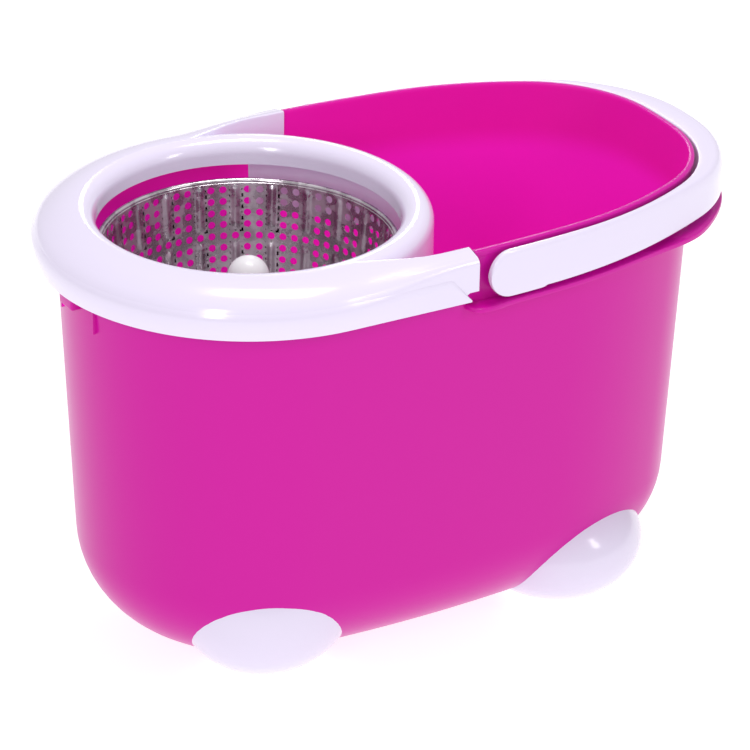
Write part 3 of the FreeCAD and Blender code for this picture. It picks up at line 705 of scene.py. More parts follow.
@dataclass(frozen=True)
class Plastic:
    """Moulded plastic: its colour, a worn tint, gloss and grain, with a painted shade band and a painted glow where
    given.
    """

    name: str
    colour: Colour
    worn: Colour
    wear: float = 0.12
    rough: float = 0.22
    dull: float = 0.34
    coat: float = 0.35
    coat_rough: float = 0.08
    grain: float = 0.18
    flow: float = 1.0
    depth: float = 0.0004
    low_edge: float = 0.0
    # Painted shade: a darker colour above band_bottom that stands in for the shade on the upper inner wall.
    painted_shade_colour: Colour | None = None
    band_bottom: float = 0.28
    band_below: float = 0.012
    band_above: float = 0.010
    specular: float = 0.5
    glow: float = 0.0
    bump: float = 0.5
    ior: float = 1.49

    def make(self, effects: SharedEffects) -> bpy.types.Material:
        """Makes the material.

        Args:
            effects: the shared surface effects.

        Returns:
            The material.
        """
        material, w, shader = start_material(self.name)
        colour: object = self.colour
        # Painted shade: above band_bottom the colour turns to the darker band colour, for the shade on the upper band
        # of the inner wall.
        if self.painted_shade_colour is not None:
            split = w.node("ShaderNodeSeparateXYZ")
            w.join(w.here(), split.inputs[0])
            low, high = self.band_bottom - self.band_below, self.band_bottom + self.band_above
            band = w.ramp(split.outputs[2], low, high)
            colour = w.mix(band, self.colour, self.painted_shade_colour)
        soil = place_group(w, effects.soil, Clean=colour, Worn=self.worn, Amount=self.wear, Low_Edge=self.low_edge)
        w.join(soil.outputs["Colour"], shader.inputs["Base Color"])
        grain = place_group(w, effects.grain, Grain=self.grain, Flow=self.flow)
        w.join(w.ramp(grain.outputs["Dullness"], 0.0, 1.0, self.rough, self.dull), shader.inputs["Roughness"])
        raise_surface(w, shader, grain.outputs["Height"], self.bump, self.depth)
        shader.inputs["Coat Weight"].default_value = self.coat
        shader.inputs["Coat Roughness"].default_value = self.coat_rough
        shader.inputs["IOR"].default_value = self.ior
        shader.inputs["Specular IOR Level"].default_value = self.specular
        # Painted light: the glow makes the surface give off its own colour as light, though it is no lamp.
        if self.glow:
            w.join(soil.outputs["Colour"], shader.inputs["Emission Color"])
            shader.inputs["Emission Strength"].default_value = self.glow
        return material


@dataclass(frozen=True)
class Steel:
    """Bare steel: its colour, a second tint for patches, and how it was worked."""

    name: str
    colour: Colour
    patch: Colour
    rough: float = 0.22
    dull: float = 0.42
    lines: float = 0.4
    dents: float = 0.6
    patch_scale: float = 60.0
    depth: float = 0.0003
    bump: float = 0.6

    def make(self, effects: SharedEffects) -> bpy.types.Material:
        """Makes the material.

        Args:
            effects: the shared surface effects.

        Returns:
            The material.
        """
        material, w, shader = start_material(self.name)
        worked = place_group(w, effects.metal, Lines=self.lines, Dents=self.dents, Patch_Scale=self.patch_scale)
        tint = w.mix(worked.outputs["Mottle"], self.colour, self.patch)
        w.join(tint, shader.inputs["Base Color"])
        w.join(w.ramp(worked.outputs["Mottle"], 0.0, 1.0, self.rough, self.dull), shader.inputs["Roughness"])
        shader.inputs["Metallic"].default_value = 1.0
        raise_surface(w, shader, worked.outputs["Height"], self.bump, self.depth)
        return material


MAGENTA = Plastic(
    "magenta_tub",
    colour=(0.605, 0.003, 0.335, 1),
    worn=(0.66, 0.012, 0.38, 1),
    wear=0.02,
    grain=0.06,
    rough=0.275,
    dull=0.29,
    coat=0.04,
    flow=0.03,
    specular=0.22,
)
# Painted light: a brighter copy of the tub's magenta with a glow, for the faces that look into the tub.
MAGENTA_INSIDE_LIT = Plastic(
    "magenta_tub_inside",
    colour=(0.70, 0.010, 0.44, 1),
    worn=(0.74, 0.024, 0.48, 1),
    wear=0.06,
    rough=0.3,
    dull=0.36,
    coat=0.02,
    flow=0.3,
    specular=0.2,
    # Painted shade: the darker band colour on the upper inner wall.
    painted_shade_colour=(0.62, 0.007, 0.31, 1),
    glow=0.32,
)
WHITE = Plastic(
    "white_gloss",
    colour=(0.75, 0.69, 0.86, 1),
    worn=(0.71, 0.65, 0.80, 1),
    wear=0.08,
    rough=0.15,
    dull=0.2,
    coat=0.5,
    grain=0.08,
    flow=0.2,
    # Painted light: a faint glow that lifts the shaded faces of the white parts.
    glow=0.07,
)
FOOT_WHITE = Plastic(
    "white_feet",
    colour=(0.74, 0.68, 0.85, 1),
    worn=(0.64, 0.59, 0.70, 1),
    wear=0.12,
    rough=0.18,
    dull=0.24,
    coat=0.4,
    grain=0.08,
    flow=0.2,
    # Painted light: a faint glow that lifts the shaded faces of the feet.
    glow=0.05,
)
HUB_WHITE = Plastic(
    "white_hub",
    colour=(0.85, 0.83, 0.86, 1),
    worn=(0.70, 0.68, 0.68, 1),
    wear=0.2,
    rough=0.3,
    dull=0.42,
    coat=0.2,
)
PEDESTAL_GREY = Plastic(
    "grey_pedestal",
    colour=(0.42, 0.43, 0.46, 1),
    worn=(0.3, 0.3, 0.32, 1),
    wear=0.3,
    rough=0.35,
    dull=0.5,
    coat=0.1,
)
CAGE_NYLON = Plastic(
    "amber_cage",
    colour=(0.55, 0.42, 0.22, 1),
    worn=(0.4, 0.3, 0.15, 1),
    wear=0.3,
    rough=0.35,
    dull=0.5,
    coat=0.1,
)
SEAL_RUBBER = Plastic(
    "black_rubber",
    colour=(0.018, 0.018, 0.02, 1),
    worn=(0.05, 0.05, 0.05, 1),
    wear=0.4,
    rough=0.6,
    dull=0.8,
    coat=0.0,
    grain=0.5,
)
BASKET_STEEL = Steel(
    "pressed_basket_steel",
    colour=(0.50, 0.46, 0.49, 1),
    patch=(0.72, 0.69, 0.72, 1),
    rough=0.2,
    dull=0.36,
    dents=1.2,
    patch_scale=70.0,
)
PLATE_STEEL = Steel(
    "zinc_plate",
    colour=(0.62, 0.62, 0.60, 1),
    patch=(0.50, 0.50, 0.47, 1),
    rough=0.3,
    dull=0.5,
)
SHAFT_STEEL = Steel(
    "ground_shaft",
    colour=(0.66, 0.66, 0.67, 1),
    patch=(0.56, 0.56, 0.57, 1),
    rough=0.16,
    dull=0.26,
    lines=0.8,
)
BEARING_STEEL = Steel(
    "bearing_steel",
    colour=(0.70, 0.70, 0.71, 1),
    patch=(0.62, 0.62, 0.64, 1),
    rough=0.1,
    dull=0.2,
    lines=0.5,
)
SCREW_STEEL = Steel(
    "screw_steel",
    colour=(0.58, 0.57, 0.55, 1),
    patch=(0.46, 0.45, 0.43, 1),
    rough=0.26,
    dull=0.4,
)

CARRIED_OVER: dict[str, Plastic | Steel] = {
    "hub_post": HUB_WHITE,
    "clamp_plate": PLATE_STEEL,
    "hub_screws": SCREW_STEEL,
    "spindle_shaft": SHAFT_STEEL,
    "upper_bearing_outer_ring": BEARING_STEEL,
    "upper_bearing_inner_ring": BEARING_STEEL,
    "upper_bearing_balls": BEARING_STEEL,
    "upper_bearing_cage": CAGE_NYLON,
    "lower_bearing_outer_ring": BEARING_STEEL,
    "lower_bearing_inner_ring": BEARING_STEEL,
    "lower_bearing_balls": BEARING_STEEL,
    "lower_bearing_cage": CAGE_NYLON,
    "spacer_sleeve": SHAFT_STEEL,
    "retaining_clip": SCREW_STEEL,
    "water_slinger": SEAL_RUBBER,
    "bearing_pedestal": PEDESTAL_GREY,
    "pedestal_gasket": SEAL_RUBBER,
    "pedestal_screws": SCREW_STEEL,
    "foot_screws": SCREW_STEEL,
}


class Workshop:
    """Keeps the finishes and fastens finished pieces to the frame."""

    def __init__(self) -> None:
        """Builds the shared effects."""
        self.effects = SharedEffects()
        self.made: dict[str, bpy.types.Material] = {}

    def finish_of(self, finish: Plastic | Steel) -> bpy.types.Material:
        """Finds a finish's material, and makes it the first time.

        Args:
            finish: the finish.

        Returns:
            Its material.
        """
        if finish.name not in self.made:
            self.made[finish.name] = finish.make(self.effects)
        return self.made[finish.name]

    def fasten(self, piece: bpy.types.Object, body: Body, replaced: Sequence[str]) -> None:
        """Makes a piece ride on its body and stand for its CAD nodes.

        Args:
            piece: the finished piece.
            body: the body it moves with.
            replaced: the CAD nodes it stands for.
        """
        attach(piece, body.value)
        if replaced:
            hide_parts(*replaced)
        LOG.info("%s: %d faces on %s", piece.name, len(piece.data.polygons), body.value)

    def dress(self, piece: bpy.types.Object, finish: Plastic | Steel) -> None:
        """Gives a piece one finish all over."""
        piece.data.materials.clear()
        piece.data.materials.append(self.finish_of(finish))


# ---------------------------------------------------------------------------------------------------------------
# Wash tub


@dataclass
class WashTub:
    """The drafted tub with its rolled lip, ledge, latch nose and ribs.

    A swell is its height, its place along the bucket and its spread. The sizes that bound the inside faces given
    painted light, and bay_long, are in metres.
    """

    rim_top: float = 322.0
    underside: float = 8.0
    draft: float = 2.6
    bottom_round: float = 76.0
    wall: float = 3.2
    bead: float = 1.0
    bead_deep: float = 4.0
    step_x: float = 98.0
    step_top: float = 315.0
    step_fade: float = 300.0
    ledge_low: float = 280.0
    ledge_high: float = 283.6
    ledge_start: float = 93.0
    ledge_soft: float = 1.0
    ledge_round: float = 6.0
    swell_front: Point = (2.4, 108.0, 13.0)
    swell_rear: Point = (7.5, 286.0, 27.0)
    nose_low: Point = (-138.7, -9.3, 276.2)
    nose_high: Point = (-127.5, 9.3, 298.0)
    rib_apart: float = 24.0
    rib_half: float = 0.5
    rib_x: Pair = (-130.3, -126.0)
    rib_z: Pair = (264.0, 291.0)
    boss_circle: float = 39.0
    boss_places: tuple[float, ...] = (180.0, 45.0, -45.0)
    boss: tuple[Pair, ...] = ((0.0, 3.5), (4.2, 3.5), (5.0, 4.3), (5.3, 9.0), (0.0, 9.0))
    lit_inside_to: float = 0.3215
    lit_inside_round: float = 0.137
    bay_long: float = 0.2
    spacing: float = 5.0
    wall_steps: int = 9

    def slope(self) -> float:
        """Returns how far the wall moves in for each millimetre down."""
        return math.tan(math.radians(self.draft))

    def profile(self) -> list[Pair]:
        """Draws the wall's section.

        Returns:
            (offset from the rim outline, z) from the underside over the lip to the floor.
        """
        slope, top = self.slope(), self.rim_top
        centre_z = self.underside + self.bottom_round
        centre = (-(top - centre_z) * slope - self.bottom_round / math.cos(math.radians(self.draft)), centre_z)
        outer = arc(centre, self.bottom_round, -90, -self.draft, 16)
        low, high = outer[-1][1], top - self.bead_deep
        steps = self.wall_steps
        heights = [low + (high - 0.6 - low) * k / steps for k in range(1, steps + 1)]
        outer += [(-(top - z) * slope, z) for z in heights]
        lip = [
            (self.bead * 0.7, high - 0.35),
            (self.bead, high + 0.1),
            (self.bead, top - 1.3),
            (self.bead * 0.75, top - 0.5),
            (self.bead * 0.2, top - 0.1),
            (-0.6, top),
            (-self.wall + 1.0, top),
            (-self.wall + 0.3, top - 0.25),
            (-self.wall, top - 1.0),
        ]
        inner_round = self.bottom_round - self.wall
        floor = arc(centre, inner_round, -self.draft, -90, 16)
        floor_top = floor[0][1]
        heights = [top - 3 - (top - 3 - floor_top) * k / steps for k in range(steps)]
        inner = [(-self.wall - (top - z) * slope, z) for z in heights]
        return outer + lip + inner + floor

    def shell(self, shell: Shell) -> None:
        """Adds the tub's wall, with its lip stepped down under the collar.

        Args:
            shell: the part's shell, which gets the new skin.
        """
        stations = TUB_RIM.stations(self.spacing, (self.step_x - 0.25, self.step_x + 0.25))
        drop = (self.step_top - self.step_fade) / (self.rim_top - self.step_fade)
        rows = []
        for offset, z in self.profile():
            row = []
            for station in stations:
                x, y = station.at(offset)
                low = station.at(0.0)[0] < self.step_x and z > self.step_fade
                row.append((x, y, self.step_fade + (z - self.step_fade) * drop if low else z))
            rows.append(row)
        shell.loft(rows, around=True)

    def ledge(self, shell: Shell) -> None:
        """Adds the ledge under the handle, with a swell beside each pivot.

        Args:
            shell: the part's shell, which gets the new skin.
        """
        shares = [i / 240 for i in range(241)]
        wall_in = -(self.rim_top - self.ledge_low) * self.slope() - self.wall / 2
        inner = walk(TUB_RIM.sweep(wall_in, self.ledge_start), shares)
        outer = walk(STRAP_EDGE.sweep(0.6, self.ledge_start), shares)
        rows = []
        for (ix, iy, _), (ox, oy, _) in zip(inner, outer):
            width = math.dist((ix, iy), (ox, oy))
            ux, uy = (ox - ix) / width, (oy - iy) / width
            swell = 0.0
            for proud, place, spread in (self.swell_front, self.swell_rear):
                swell += proud * math.exp(-(((ox - place) / spread) ** 2))
            end = min(max((self.ledge_start + self.ledge_round - ox) / self.ledge_round, 0.0), 0.96)
            reach = (width + swell) * math.sqrt(1 - end * end)
            soft = self.ledge_soft
            edge = [(0.8 * soft, 0.0), (0.2 * soft, 0.3 * soft), (0.0, soft)]
            section = [(0.0, self.ledge_low)] + [(reach - d, self.ledge_low + up) for d, up in edge]
            section += [(reach - d, self.ledge_high - up) for d, up in reversed(edge)] + [(0.0, self.ledge_high)]
            rows.append([(ix + ux * d, iy + uy * d, z) for d, z in section])
        shell.loft(rows, around=True)

    def small_features(self, shell: Shell) -> None:
        """Adds the latch nose, the two front ribs and the screw bosses underneath.

        Args:
            shell: the part's shell, which gets the new skin.
        """
        shell.block(self.nose_low, self.nose_high, 1.6)
        for side in (-1, 1):
            y = side * self.rib_apart
            low = (self.rib_x[0], y - self.rib_half, self.rib_z[0])
            high = (self.rib_x[1], y + self.rib_half, self.rib_z[1])
            shell.block(low, high, 0.3)
        for degrees in self.boss_places:
            a = math.radians(degrees)
            shell.turned(self.boss, 32, (self.boss_circle * math.cos(a), self.boss_circle * math.sin(a)))

    def paint_inside_light(self, piece: bpy.types.Object, shop: Workshop) -> None:
        """Gives the faces that look into the tub a brighter, glowing copy of the magenta: painted light where light
        comes through the wall.

        Args:
            piece: the tub.
            shop: the workshop that keeps the finishes.
        """
        piece.data.materials.append(shop.finish_of(MAGENTA_INSIDE_LIT))
        for face in piece.data.polygons:
            x, y, z = face.center
            flat = Vector((x, y)) - Vector((min(max(x, SPIN_X), SPIN_X + self.bay_long), 0.0))
            side_on = face.normal.x * flat.x + face.normal.y * flat.y < 0
            floor_up = face.normal.z > 0.7 and 0.010 < z < 0.05
            wall = face.normal.z > -0.2 and z < self.lit_inside_to and flat.length < self.lit_inside_round
            if (side_on and wall) or floor_up:
                face.material_index = 1

    def build(self, shop: Workshop) -> bpy.types.Object:
        """Builds the tub.

        Args:
            shop: the workshop that keeps the finishes.

        Returns:
            The finished piece.
        """
        shell = Shell()
        self.shell(shell)
        self.ledge(shell)
        self.small_features(shell)
        piece = shell.finish("wash_tub")
        shop.dress(piece, MAGENTA)
        self.paint_inside_light(piece, shop)
        shop.fasten(piece, Body.BUCKET, ["bucket_tub"])
        return piece


# ---------------------------------------------------------------------------------------------------------------
# Splash collar


ARM_INNER_EDGE: tuple[Pair, ...] = (
    (0.0, 115.5),
    (18.0, 115.0),
    (35.0, 120.4),
    (51.0, 126.0),
    (64.0, 128.6),
    (75.0, 129.3),
    (97.0, 128.9),
)


@dataclass
class SplashCollar:
    """The white collar: a ring round the basket's mouth, a hood over the tub's front and two arms along its sides."""

    mouth: float = 104.5
    ring_round: float = 11.0
    ring_z: float = 313.0
    wall: float = 2.5
    lip_bottom: float = 306.0
    outer_bottom: float = 300.0
    guard_bottom: float = 263.0
    guard_half: float = 62.0
    arm_end: float = 97.0
    skirt_bottom: float = 291.0
    skirt_end_bottom: float = 297.0
    inner_deep: float = 18.0
    crown: Pair = (115.5, 280.0)
    crown_round: float = 44.0
    edge: Pair = (132.13, 303.76)
    edge_round: float = 15.0
    skirt: Pair = (111.13, 303.76)
    skirt_round: float = 36.0
    shoulder_angle: float = 55.0
    skirt_angle: float = -20.7
    crown_steps: int = 8
    skirt_steps: int = 6
    arm_edge: Pair = (139.6, 315.6)
    arm_edge_round: float = 5.4
    arm_top: float = 323.2
    arm_fall: float = 2.2
    arm_side: float = 145.0
    arm_tall: float = 24.6
    arm_soft: float = 1.3
    layer_end: float = 92.5
    layer_top: float = 309.5
    layer_bottom: float = 290.4
    layer_fall: float = 18.4
    layer_proud: float = 0.95
    ring_steps: int = 192

    def hood(self) -> list[Pair]:
        """Draws the front section's outer face.

        Returns:
            (r, z) from the crest to the skirt's lower edge.
        """
        top = arc(self.crown, self.crown_round, 90, self.shoulder_angle, self.crown_steps)
        edge = arc(self.edge, self.edge_round, self.shoulder_angle, 0, self.crown_steps)[1:]
        skirt = arc(self.skirt, self.skirt_round, 0, self.skirt_angle, self.skirt_steps)[1:]
        return top + edge + skirt

    def arm(self, inner: float) -> list[Pair]:
        """Draws an arm's outer face at its end.

        Args:
            inner: the arm's inner edge.

        Returns:
            (y, z) with as many points as the hood's section.
        """
        (edge_r, edge_z), steps = self.arm_edge, self.skirt_steps
        top = []
        for k in range(self.crown_steps + 1):
            share = k / self.crown_steps
            top.append((blend_value(inner, edge_r, share), self.arm_top - self.arm_fall * share**1.6))
        edge = arc(self.arm_edge, self.arm_edge_round, 88, 0, self.crown_steps)[1:]
        skirt = [(self.arm_side, edge_z - self.arm_tall * k / steps) for k in range(1, steps + 1)]
        return top + edge + skirt

    def arm_inner(self, x: float) -> float:
        """Finds the arm's inner edge.

        Args:
            x: the place along the bucket.

        Returns:
            The edge's distance from the middle plane.
        """
        for (x0, y0), (x1, y1) in zip(ARM_INNER_EDGE, ARM_INNER_EDGE[1:]):
            if x <= x1:
                return blend_value(y0, y1, (x - x0) / (x1 - x0))
        return ARM_INNER_EDGE[-1][1]

    def section(self, x: float) -> list[Pair]:
        """Draws the outer face's section at a place.

        Args:
            x: the place along the bucket; 0 or less stands for the whole front.

        Returns:
            (r, z) from the crest to the skirt's lower edge.
        """
        if x <= 0:
            return self.hood()
        inner = self.arm_inner(x)
        share = ease(0.0, 90.0, x)
        front, end = self.hood(), self.arm(inner)
        shift = inner - self.crown[0]
        rows = []
        for i, ((r0, z0), (r1, z1)) in enumerate(zip(front, end)):
            near = max(0.0, 1 - i / self.crown_steps)
            rows.append((blend_value(r0 + shift * near, r1, share), blend_value(z0, z1, share)))
        lowest = blend_value(self.skirt_bottom, self.skirt_end_bottom, ease(84.0, 90.0, x))
        return [(r, max(z, lowest)) for r, z in rows]

    def stations(self) -> list[tuple[float, Callable[[float, float], Point]]]:
        """Lists the places that sections stand at, from the left arm's end round the front to the right one's.

        Returns:
            Each place along the bucket, with what turns (r, z) into a point there.
        """
        places: list[tuple[float, Callable[[float, float], Point]]] = []
        along = [self.arm_end * (1 - k / 34) for k in range(34)]
        along = sorted(set(along + [84.0, 86.0, 88.0, 90.0]), reverse=True)
        for x in along:
            places.append((x, lambda r, z, x=x: (x, r, z)))
        for k in range(97):
            a = math.radians(90 + 180 * k / 96)
            places.append((0.0, lambda r, z, a=a: (r * math.cos(a), r * math.sin(a), z)))
        for x in reversed(along):
            places.append((x, lambda r, z, x=x: (x, -r, z)))
        return places

    def hood_and_arms(self, shell: Shell) -> None:
        """Adds the hood and both arms as one wall.

        Args:
            shell: the part's shell, which gets the new skin.
        """
        rows = []
        for x, put in self.stations():
            face = self.section(x)
            soft = self.arm_soft * ease(16.0, 40.0, x)
            r0, z0 = face[0]
            lead = [(r0, z0 - self.inner_deep), (r0, z0 - soft - 0.05), (r0 + soft * 0.3, z0 - soft * 0.3)]
            outer = lead + [(r0 + soft + 0.02, z0)] + face[1:]
            inner = inset(face, self.wall)
            back = [(r0 + self.wall, z0 - self.inner_deep)]
            back += [(max(r, r0 + self.wall), min(z, z0 - self.wall)) for r, z in inner[1:]]
            back[-1] = (face[-1][0] - self.wall, face[-1][1])
            rows.append([put(r, z) for r, z in outer + back[::-1]])
        shell.loft(rows, around=True)

    def skirt_layer(self, shell: Shell) -> None:
        """Adds the lower layer of the skirt, a little proud of the hood, with slanted ends.

        Args:
            shell: the part's shell, which gets the new skin.
        """
        rows = []
        for x, put in self.stations():
            if x > self.layer_end:
                continue
            face = self.section(min(x, 83.0))
            top = self.layer_top - self.layer_fall * min(max((x - 76.0) / 16.0, 0.0), 1.0)

            def radius(z: float, face: list[Pair] = face) -> float:
                """Finds the hood's outer face at a height.

                Args:
                    z: the height.
                    face: the section's outer face.

                Returns:
                    Its distance from the middle.
                """
                for (r0, z0), (r1, z1) in zip(face, face[1:]):
                    if z1 <= z <= z0 and z0 > z1:
                        return blend_value(r0, r1, (z0 - z) / (z0 - z1))
                return face[-1][0]

            heights = [blend_value(top, self.layer_bottom, k / 7) for k in range(8)]
            lowest = self.skirt_bottom + 0.2
            outer = []
            for k, z in enumerate(heights):
                proud = self.layer_proud * ease(0.0, 1.0, k / 1.2)
                outer.append((radius(max(z, lowest)) + proud, z))
            inner = [(radius(max(z, lowest)) - 1.0, z) for z in heights]
            rows.append([put(r, z) for r, z in outer + inner[::-1]])
        shell.loft(rows, around=True)

    def ring(self, shell: Shell) -> None:
        """Adds the ring round the mouth with the guard wall that hangs from it towards the wash bay.

        Args:
            shell: the part's shell, which gets the new skin.
        """
        half, whole, step = math.radians(self.guard_half), 2 * math.pi, 0.004
        places = {whole * k / self.ring_steps for k in range(self.ring_steps)}
        places |= {edge + d for edge in (half, whole - half) for d in (-step, step)}
        angles = sorted(places)
        crest = self.mouth + self.ring_round
        over = arc((crest, self.ring_z), self.ring_round, 180, 0, 20)
        under = arc((crest, self.ring_z), self.ring_round - self.wall, 0, 180, 20)
        rows = []
        for a in angles:
            turn = min(a, whole - a)
            low = self.guard_bottom if turn < half else self.outer_bottom
            reach = crest + self.ring_round
            steps = [blend_value(self.ring_z, low, k / 5) for k in range(1, 6)]
            section = [(self.mouth, self.lip_bottom)] + over
            section += [(reach, z) for z in steps[:-1]] + [(reach, low + 0.5), (reach - 0.5, low)]
            section += [(reach - self.wall + 0.5, low), (reach - self.wall, low + 0.5)]
            section += [(reach - self.wall, z) for z in steps[-2::-1]] + under
            lip = self.mouth + self.wall
            section += [(lip, self.lip_bottom + 0.4), (lip - 0.4, self.lip_bottom)]
            rows.append([(r * math.cos(a), r * math.sin(a), z) for r, z in section])
        shell.loft(rows, around=True, along=True)

    def build(self, shop: Workshop) -> bpy.types.Object:
        """Builds the collar.

        Args:
            shop: the workshop that keeps the finishes.

        Returns:
            The finished piece.
        """
        shell = Shell()
        self.hood_and_arms(shell)
        self.skirt_layer(shell)
        self.ring(shell)
        piece = shell.finish("collar_hood", 42.0)
        shop.dress(piece, WHITE)
        shop.fasten(piece, Body.BUCKET, ["splash_collar"])
        return piece


# ---------------------------------------------------------------------------------------------------------------
# Spinner basket


class Tile(Enum):
    """The kinds of tile that make up the basket's side, in the order the tree picks them."""

    HOLE = 0
    RIB = 1
    RIB_TOP = 2
    RIB_FOOT = 3
    PLAIN = 4


@dataclass
class SpinBasket:
    """The pressed steel basket: perforated side with embossed ribs, rolled rim, round corner and floor."""

    columns: int = 72
    rows: int = 9
    pitch: float = 8.6
    middle_z: float = 254.6
    top_radius: float = 100.2
    top_z: float = 294.6
    lean: float = 0.08
    sheet: float = 0.8
    sheet_radius: float = 100.0
    hole: float = 2.7
    hole_steps: int = 16
    rib_proud: float = 1.1
    rib_half: float = 0.3
    rib_every: int = 3
    weld: float = 0.02
    rim_radius: float = 102.4
    rolled: float = 1.9
    floor_z: float = 192.3
    corner: float = 17.0
    corner_soft: float = 0.6
    pressed_thin: float = 0.7
    floor_steps: tuple[Pair, ...] = (
        (70.0, 0.6),
        (66.0, 0.0),
        (64.0, 0.0),
        (46.0, 0.0),
        (44.0, 0.5),
        (36.0, 0.5),
        (31.5, 0.0),
        (8.0, 0.0),
    )

    def column_width(self) -> float:
        """Returns one tile's width on the flat sheet."""
        return 2 * math.pi * self.sheet_radius / self.columns

    def wall_radius(self, z: float) -> float:
        """Returns the inside radius of the wall at a height."""
        return self.top_radius - (self.top_z - z) * self.lean

    def tile(self, kind: Tile) -> bpy.types.Object:
        """Makes one tile of sheet, one column wide and one row tall, lying in X and Z.

        Args:
            kind: what the tile shows.

        Returns:
            The tile's object.
        """
        width, tall, count = self.column_width(), self.pitch, self.hole_steps
        bm = bmesh.new()
        if kind is Tile.HOLE:
            rim, edge = [], []
            for i in range(count):
                a = 2 * math.pi * i / count
                c, s = math.cos(a), math.sin(a)
                rim.append((self.hole * c, self.hole * s))
                grow = 0.5 / max(abs(c), abs(s))
                edge.append((c * grow * width, s * grow * tall))
            loops = []
            for depth in (0.0, self.sheet):
                loops.append([bm.verts.new((x, depth, z)) for x, z in edge])
                loops.append([bm.verts.new((x, depth, z)) for x, z in rim])
            front_edge, front_rim, back_edge, back_rim = loops
            for i in range(count):
                j = (i + 1) % count
                bm.faces.new((front_edge[i], front_edge[j], front_rim[j], front_rim[i]))
                bm.faces.new((back_rim[i], back_rim[j], back_edge[j], back_edge[i]))
                bm.faces.new((front_rim[i], front_rim[j], back_rim[j], back_rim[i]))
        else:
            across = [-0.5, -0.36, -0.25, -0.12, 0.0, 0.12, 0.25, 0.36, 0.5]
            up = [-0.5, -0.3, -0.15, 0.0, 0.15, 0.3, 0.5]
            grids = []
            for depth in (0.0, self.sheet):
                grid = []
                for v in up:
                    line = []
                    for u in across:
                        side = min(abs(u) / self.rib_half, 1.0)
                        proud = self.rib_proud * max(0.0, math.cos(side * math.pi / 2)) ** 0.8
                        proud *= self.rib_share(kind, v)
                        line.append(bm.verts.new((u * width, depth - proud, v * tall)))
                    grid.append(line)
                grids.append(grid)
            for grid in grids:
                for a, b in zip(grid, grid[1:]):
                    for i in range(len(a) - 1):
                        bm.faces.new((a[i], a[i + 1], b[i + 1], b[i]))
        mesh = bpy.data.meshes.new("tile_" + kind.name.lower())
        bm.to_mesh(mesh)
        bm.free()
        obj = bpy.data.objects.new(mesh.name, mesh)
        bpy.context.collection.objects.link(obj)
        return obj

    def rib_share(self, kind: Tile, v: float) -> float:
        """Finds how much of the rib's height stands at a place.

        Args:
            kind: the tile's kind.
            v: the place up the tile, from -0.5 to 0.5.

        Returns:
            A share from 0 to 1.
        """
        if kind is Tile.RIB:
            return 1.0
        if kind is Tile.RIB_TOP:
            return 1.0 - ease(0.0, 0.45, v)
        if kind is Tile.RIB_FOOT:
            return ease(-0.45, 0.0, v)
        return 0.0

    def pattern(self) -> bpy.types.Object:
        """Makes a cloud of tile centres.

        Returns:
            The cloud, with each centre's kind as an attribute.
        """
        points, kinds = [], []
        width, middle = self.column_width(), self.rows // 2
        tops, feet = (self.rows - 1, middle - 1), (middle + 1, 0)
        for row in range(self.rows):
            for column in range(self.columns):
                z = self.middle_z + (row - middle) * self.pitch
                points.append(((column + 0.5) * width, 0.0, z))
                kind = Tile.HOLE
                if column % self.rib_every == 1 and row != middle:
                    kind = Tile.RIB_TOP if row in tops else Tile.RIB_FOOT if row in feet else Tile.RIB
                kinds.append(kind.value)
        mesh = bpy.data.meshes.new("tile_centres")
        mesh.from_pydata(points, [], [])
        store = mesh.attributes.new("kind", "INT", "POINT")
        store.data.foreach_set("value", kinds)
        obj = bpy.data.objects.new("perforated_wall", mesh)
        bpy.context.collection.objects.link(obj)
        return obj

    def roll_tree(self) -> bpy.types.NodeTree:
        """Makes the tree that lays the tiles out, joins them and rolls the sheet into a leaning wall.

        Returns:
            The tree.
        """
        tree = bpy.data.node_groups.new("roll_perforated_wall", "GeometryNodeTree")
        face = tree.interface
        face.new_socket(name="Geometry", in_out="INPUT", socket_type="NodeSocketGeometry")
        for kind in Tile:
            face.new_socket(name="Tile " + kind.name, in_out="INPUT", socket_type="NodeSocketObject")
        sizes = {
            "Sheet Radius": self.sheet_radius,
            "Top Radius": self.top_radius,
            "Top Height": self.top_z,
            "Lean": self.lean,
        }
        for label, start in sizes.items():
            face.new_socket(name=label, in_out="INPUT", socket_type="NodeSocketFloat").default_value = start
        face.new_socket(name="Finish", in_out="INPUT", socket_type="NodeSocketMaterial")
        face.new_socket(name="Geometry", in_out="OUTPUT", socket_type="NodeSocketGeometry")
        w = Wiring(tree)
        given, out = w.node("NodeGroupInput"), w.node("NodeGroupOutput")
        tiles = w.node("GeometryNodeGeometryToInstance")
        for kind in reversed(Tile):
            info = w.node("GeometryNodeObjectInfo")
            w.join(given.outputs["Tile " + kind.name], info.inputs["Object"])
            w.join(info.outputs["Geometry"], tiles.inputs[0])
        put = w.node("GeometryNodeInstanceOnPoints")
        w.join(given.outputs["Geometry"], put.inputs["Points"])
        w.join(tiles.outputs[0], put.inputs["Instance"])
        put.inputs["Pick Instance"].default_value = True
        kind_of = w.node("GeometryNodeInputNamedAttribute", data_type="INT")
        kind_of.inputs["Name"].default_value = "kind"
        w.join(kind_of.outputs["Attribute"], put.inputs["Instance Index"])
        real = w.node("GeometryNodeRealizeInstances")
        w.join(put.outputs["Instances"], real.inputs["Geometry"])
        where = w.node("GeometryNodeInputPosition")
        split = w.node("ShaderNodeSeparateXYZ")
        w.join(where.outputs[0], split.inputs[0])
        turn = w.maths("DIVIDE", split.outputs[0], given.outputs["Sheet Radius"])
        drop = w.maths("SUBTRACT", given.outputs["Top Height"], split.outputs[2])
        reach = w.maths("SUBTRACT", given.outputs["Top Radius"], w.maths("MULTIPLY", drop, given.outputs["Lean"]))
        reach = w.maths("ADD", reach, split.outputs[1])
        rolled = w.node("ShaderNodeCombineXYZ")
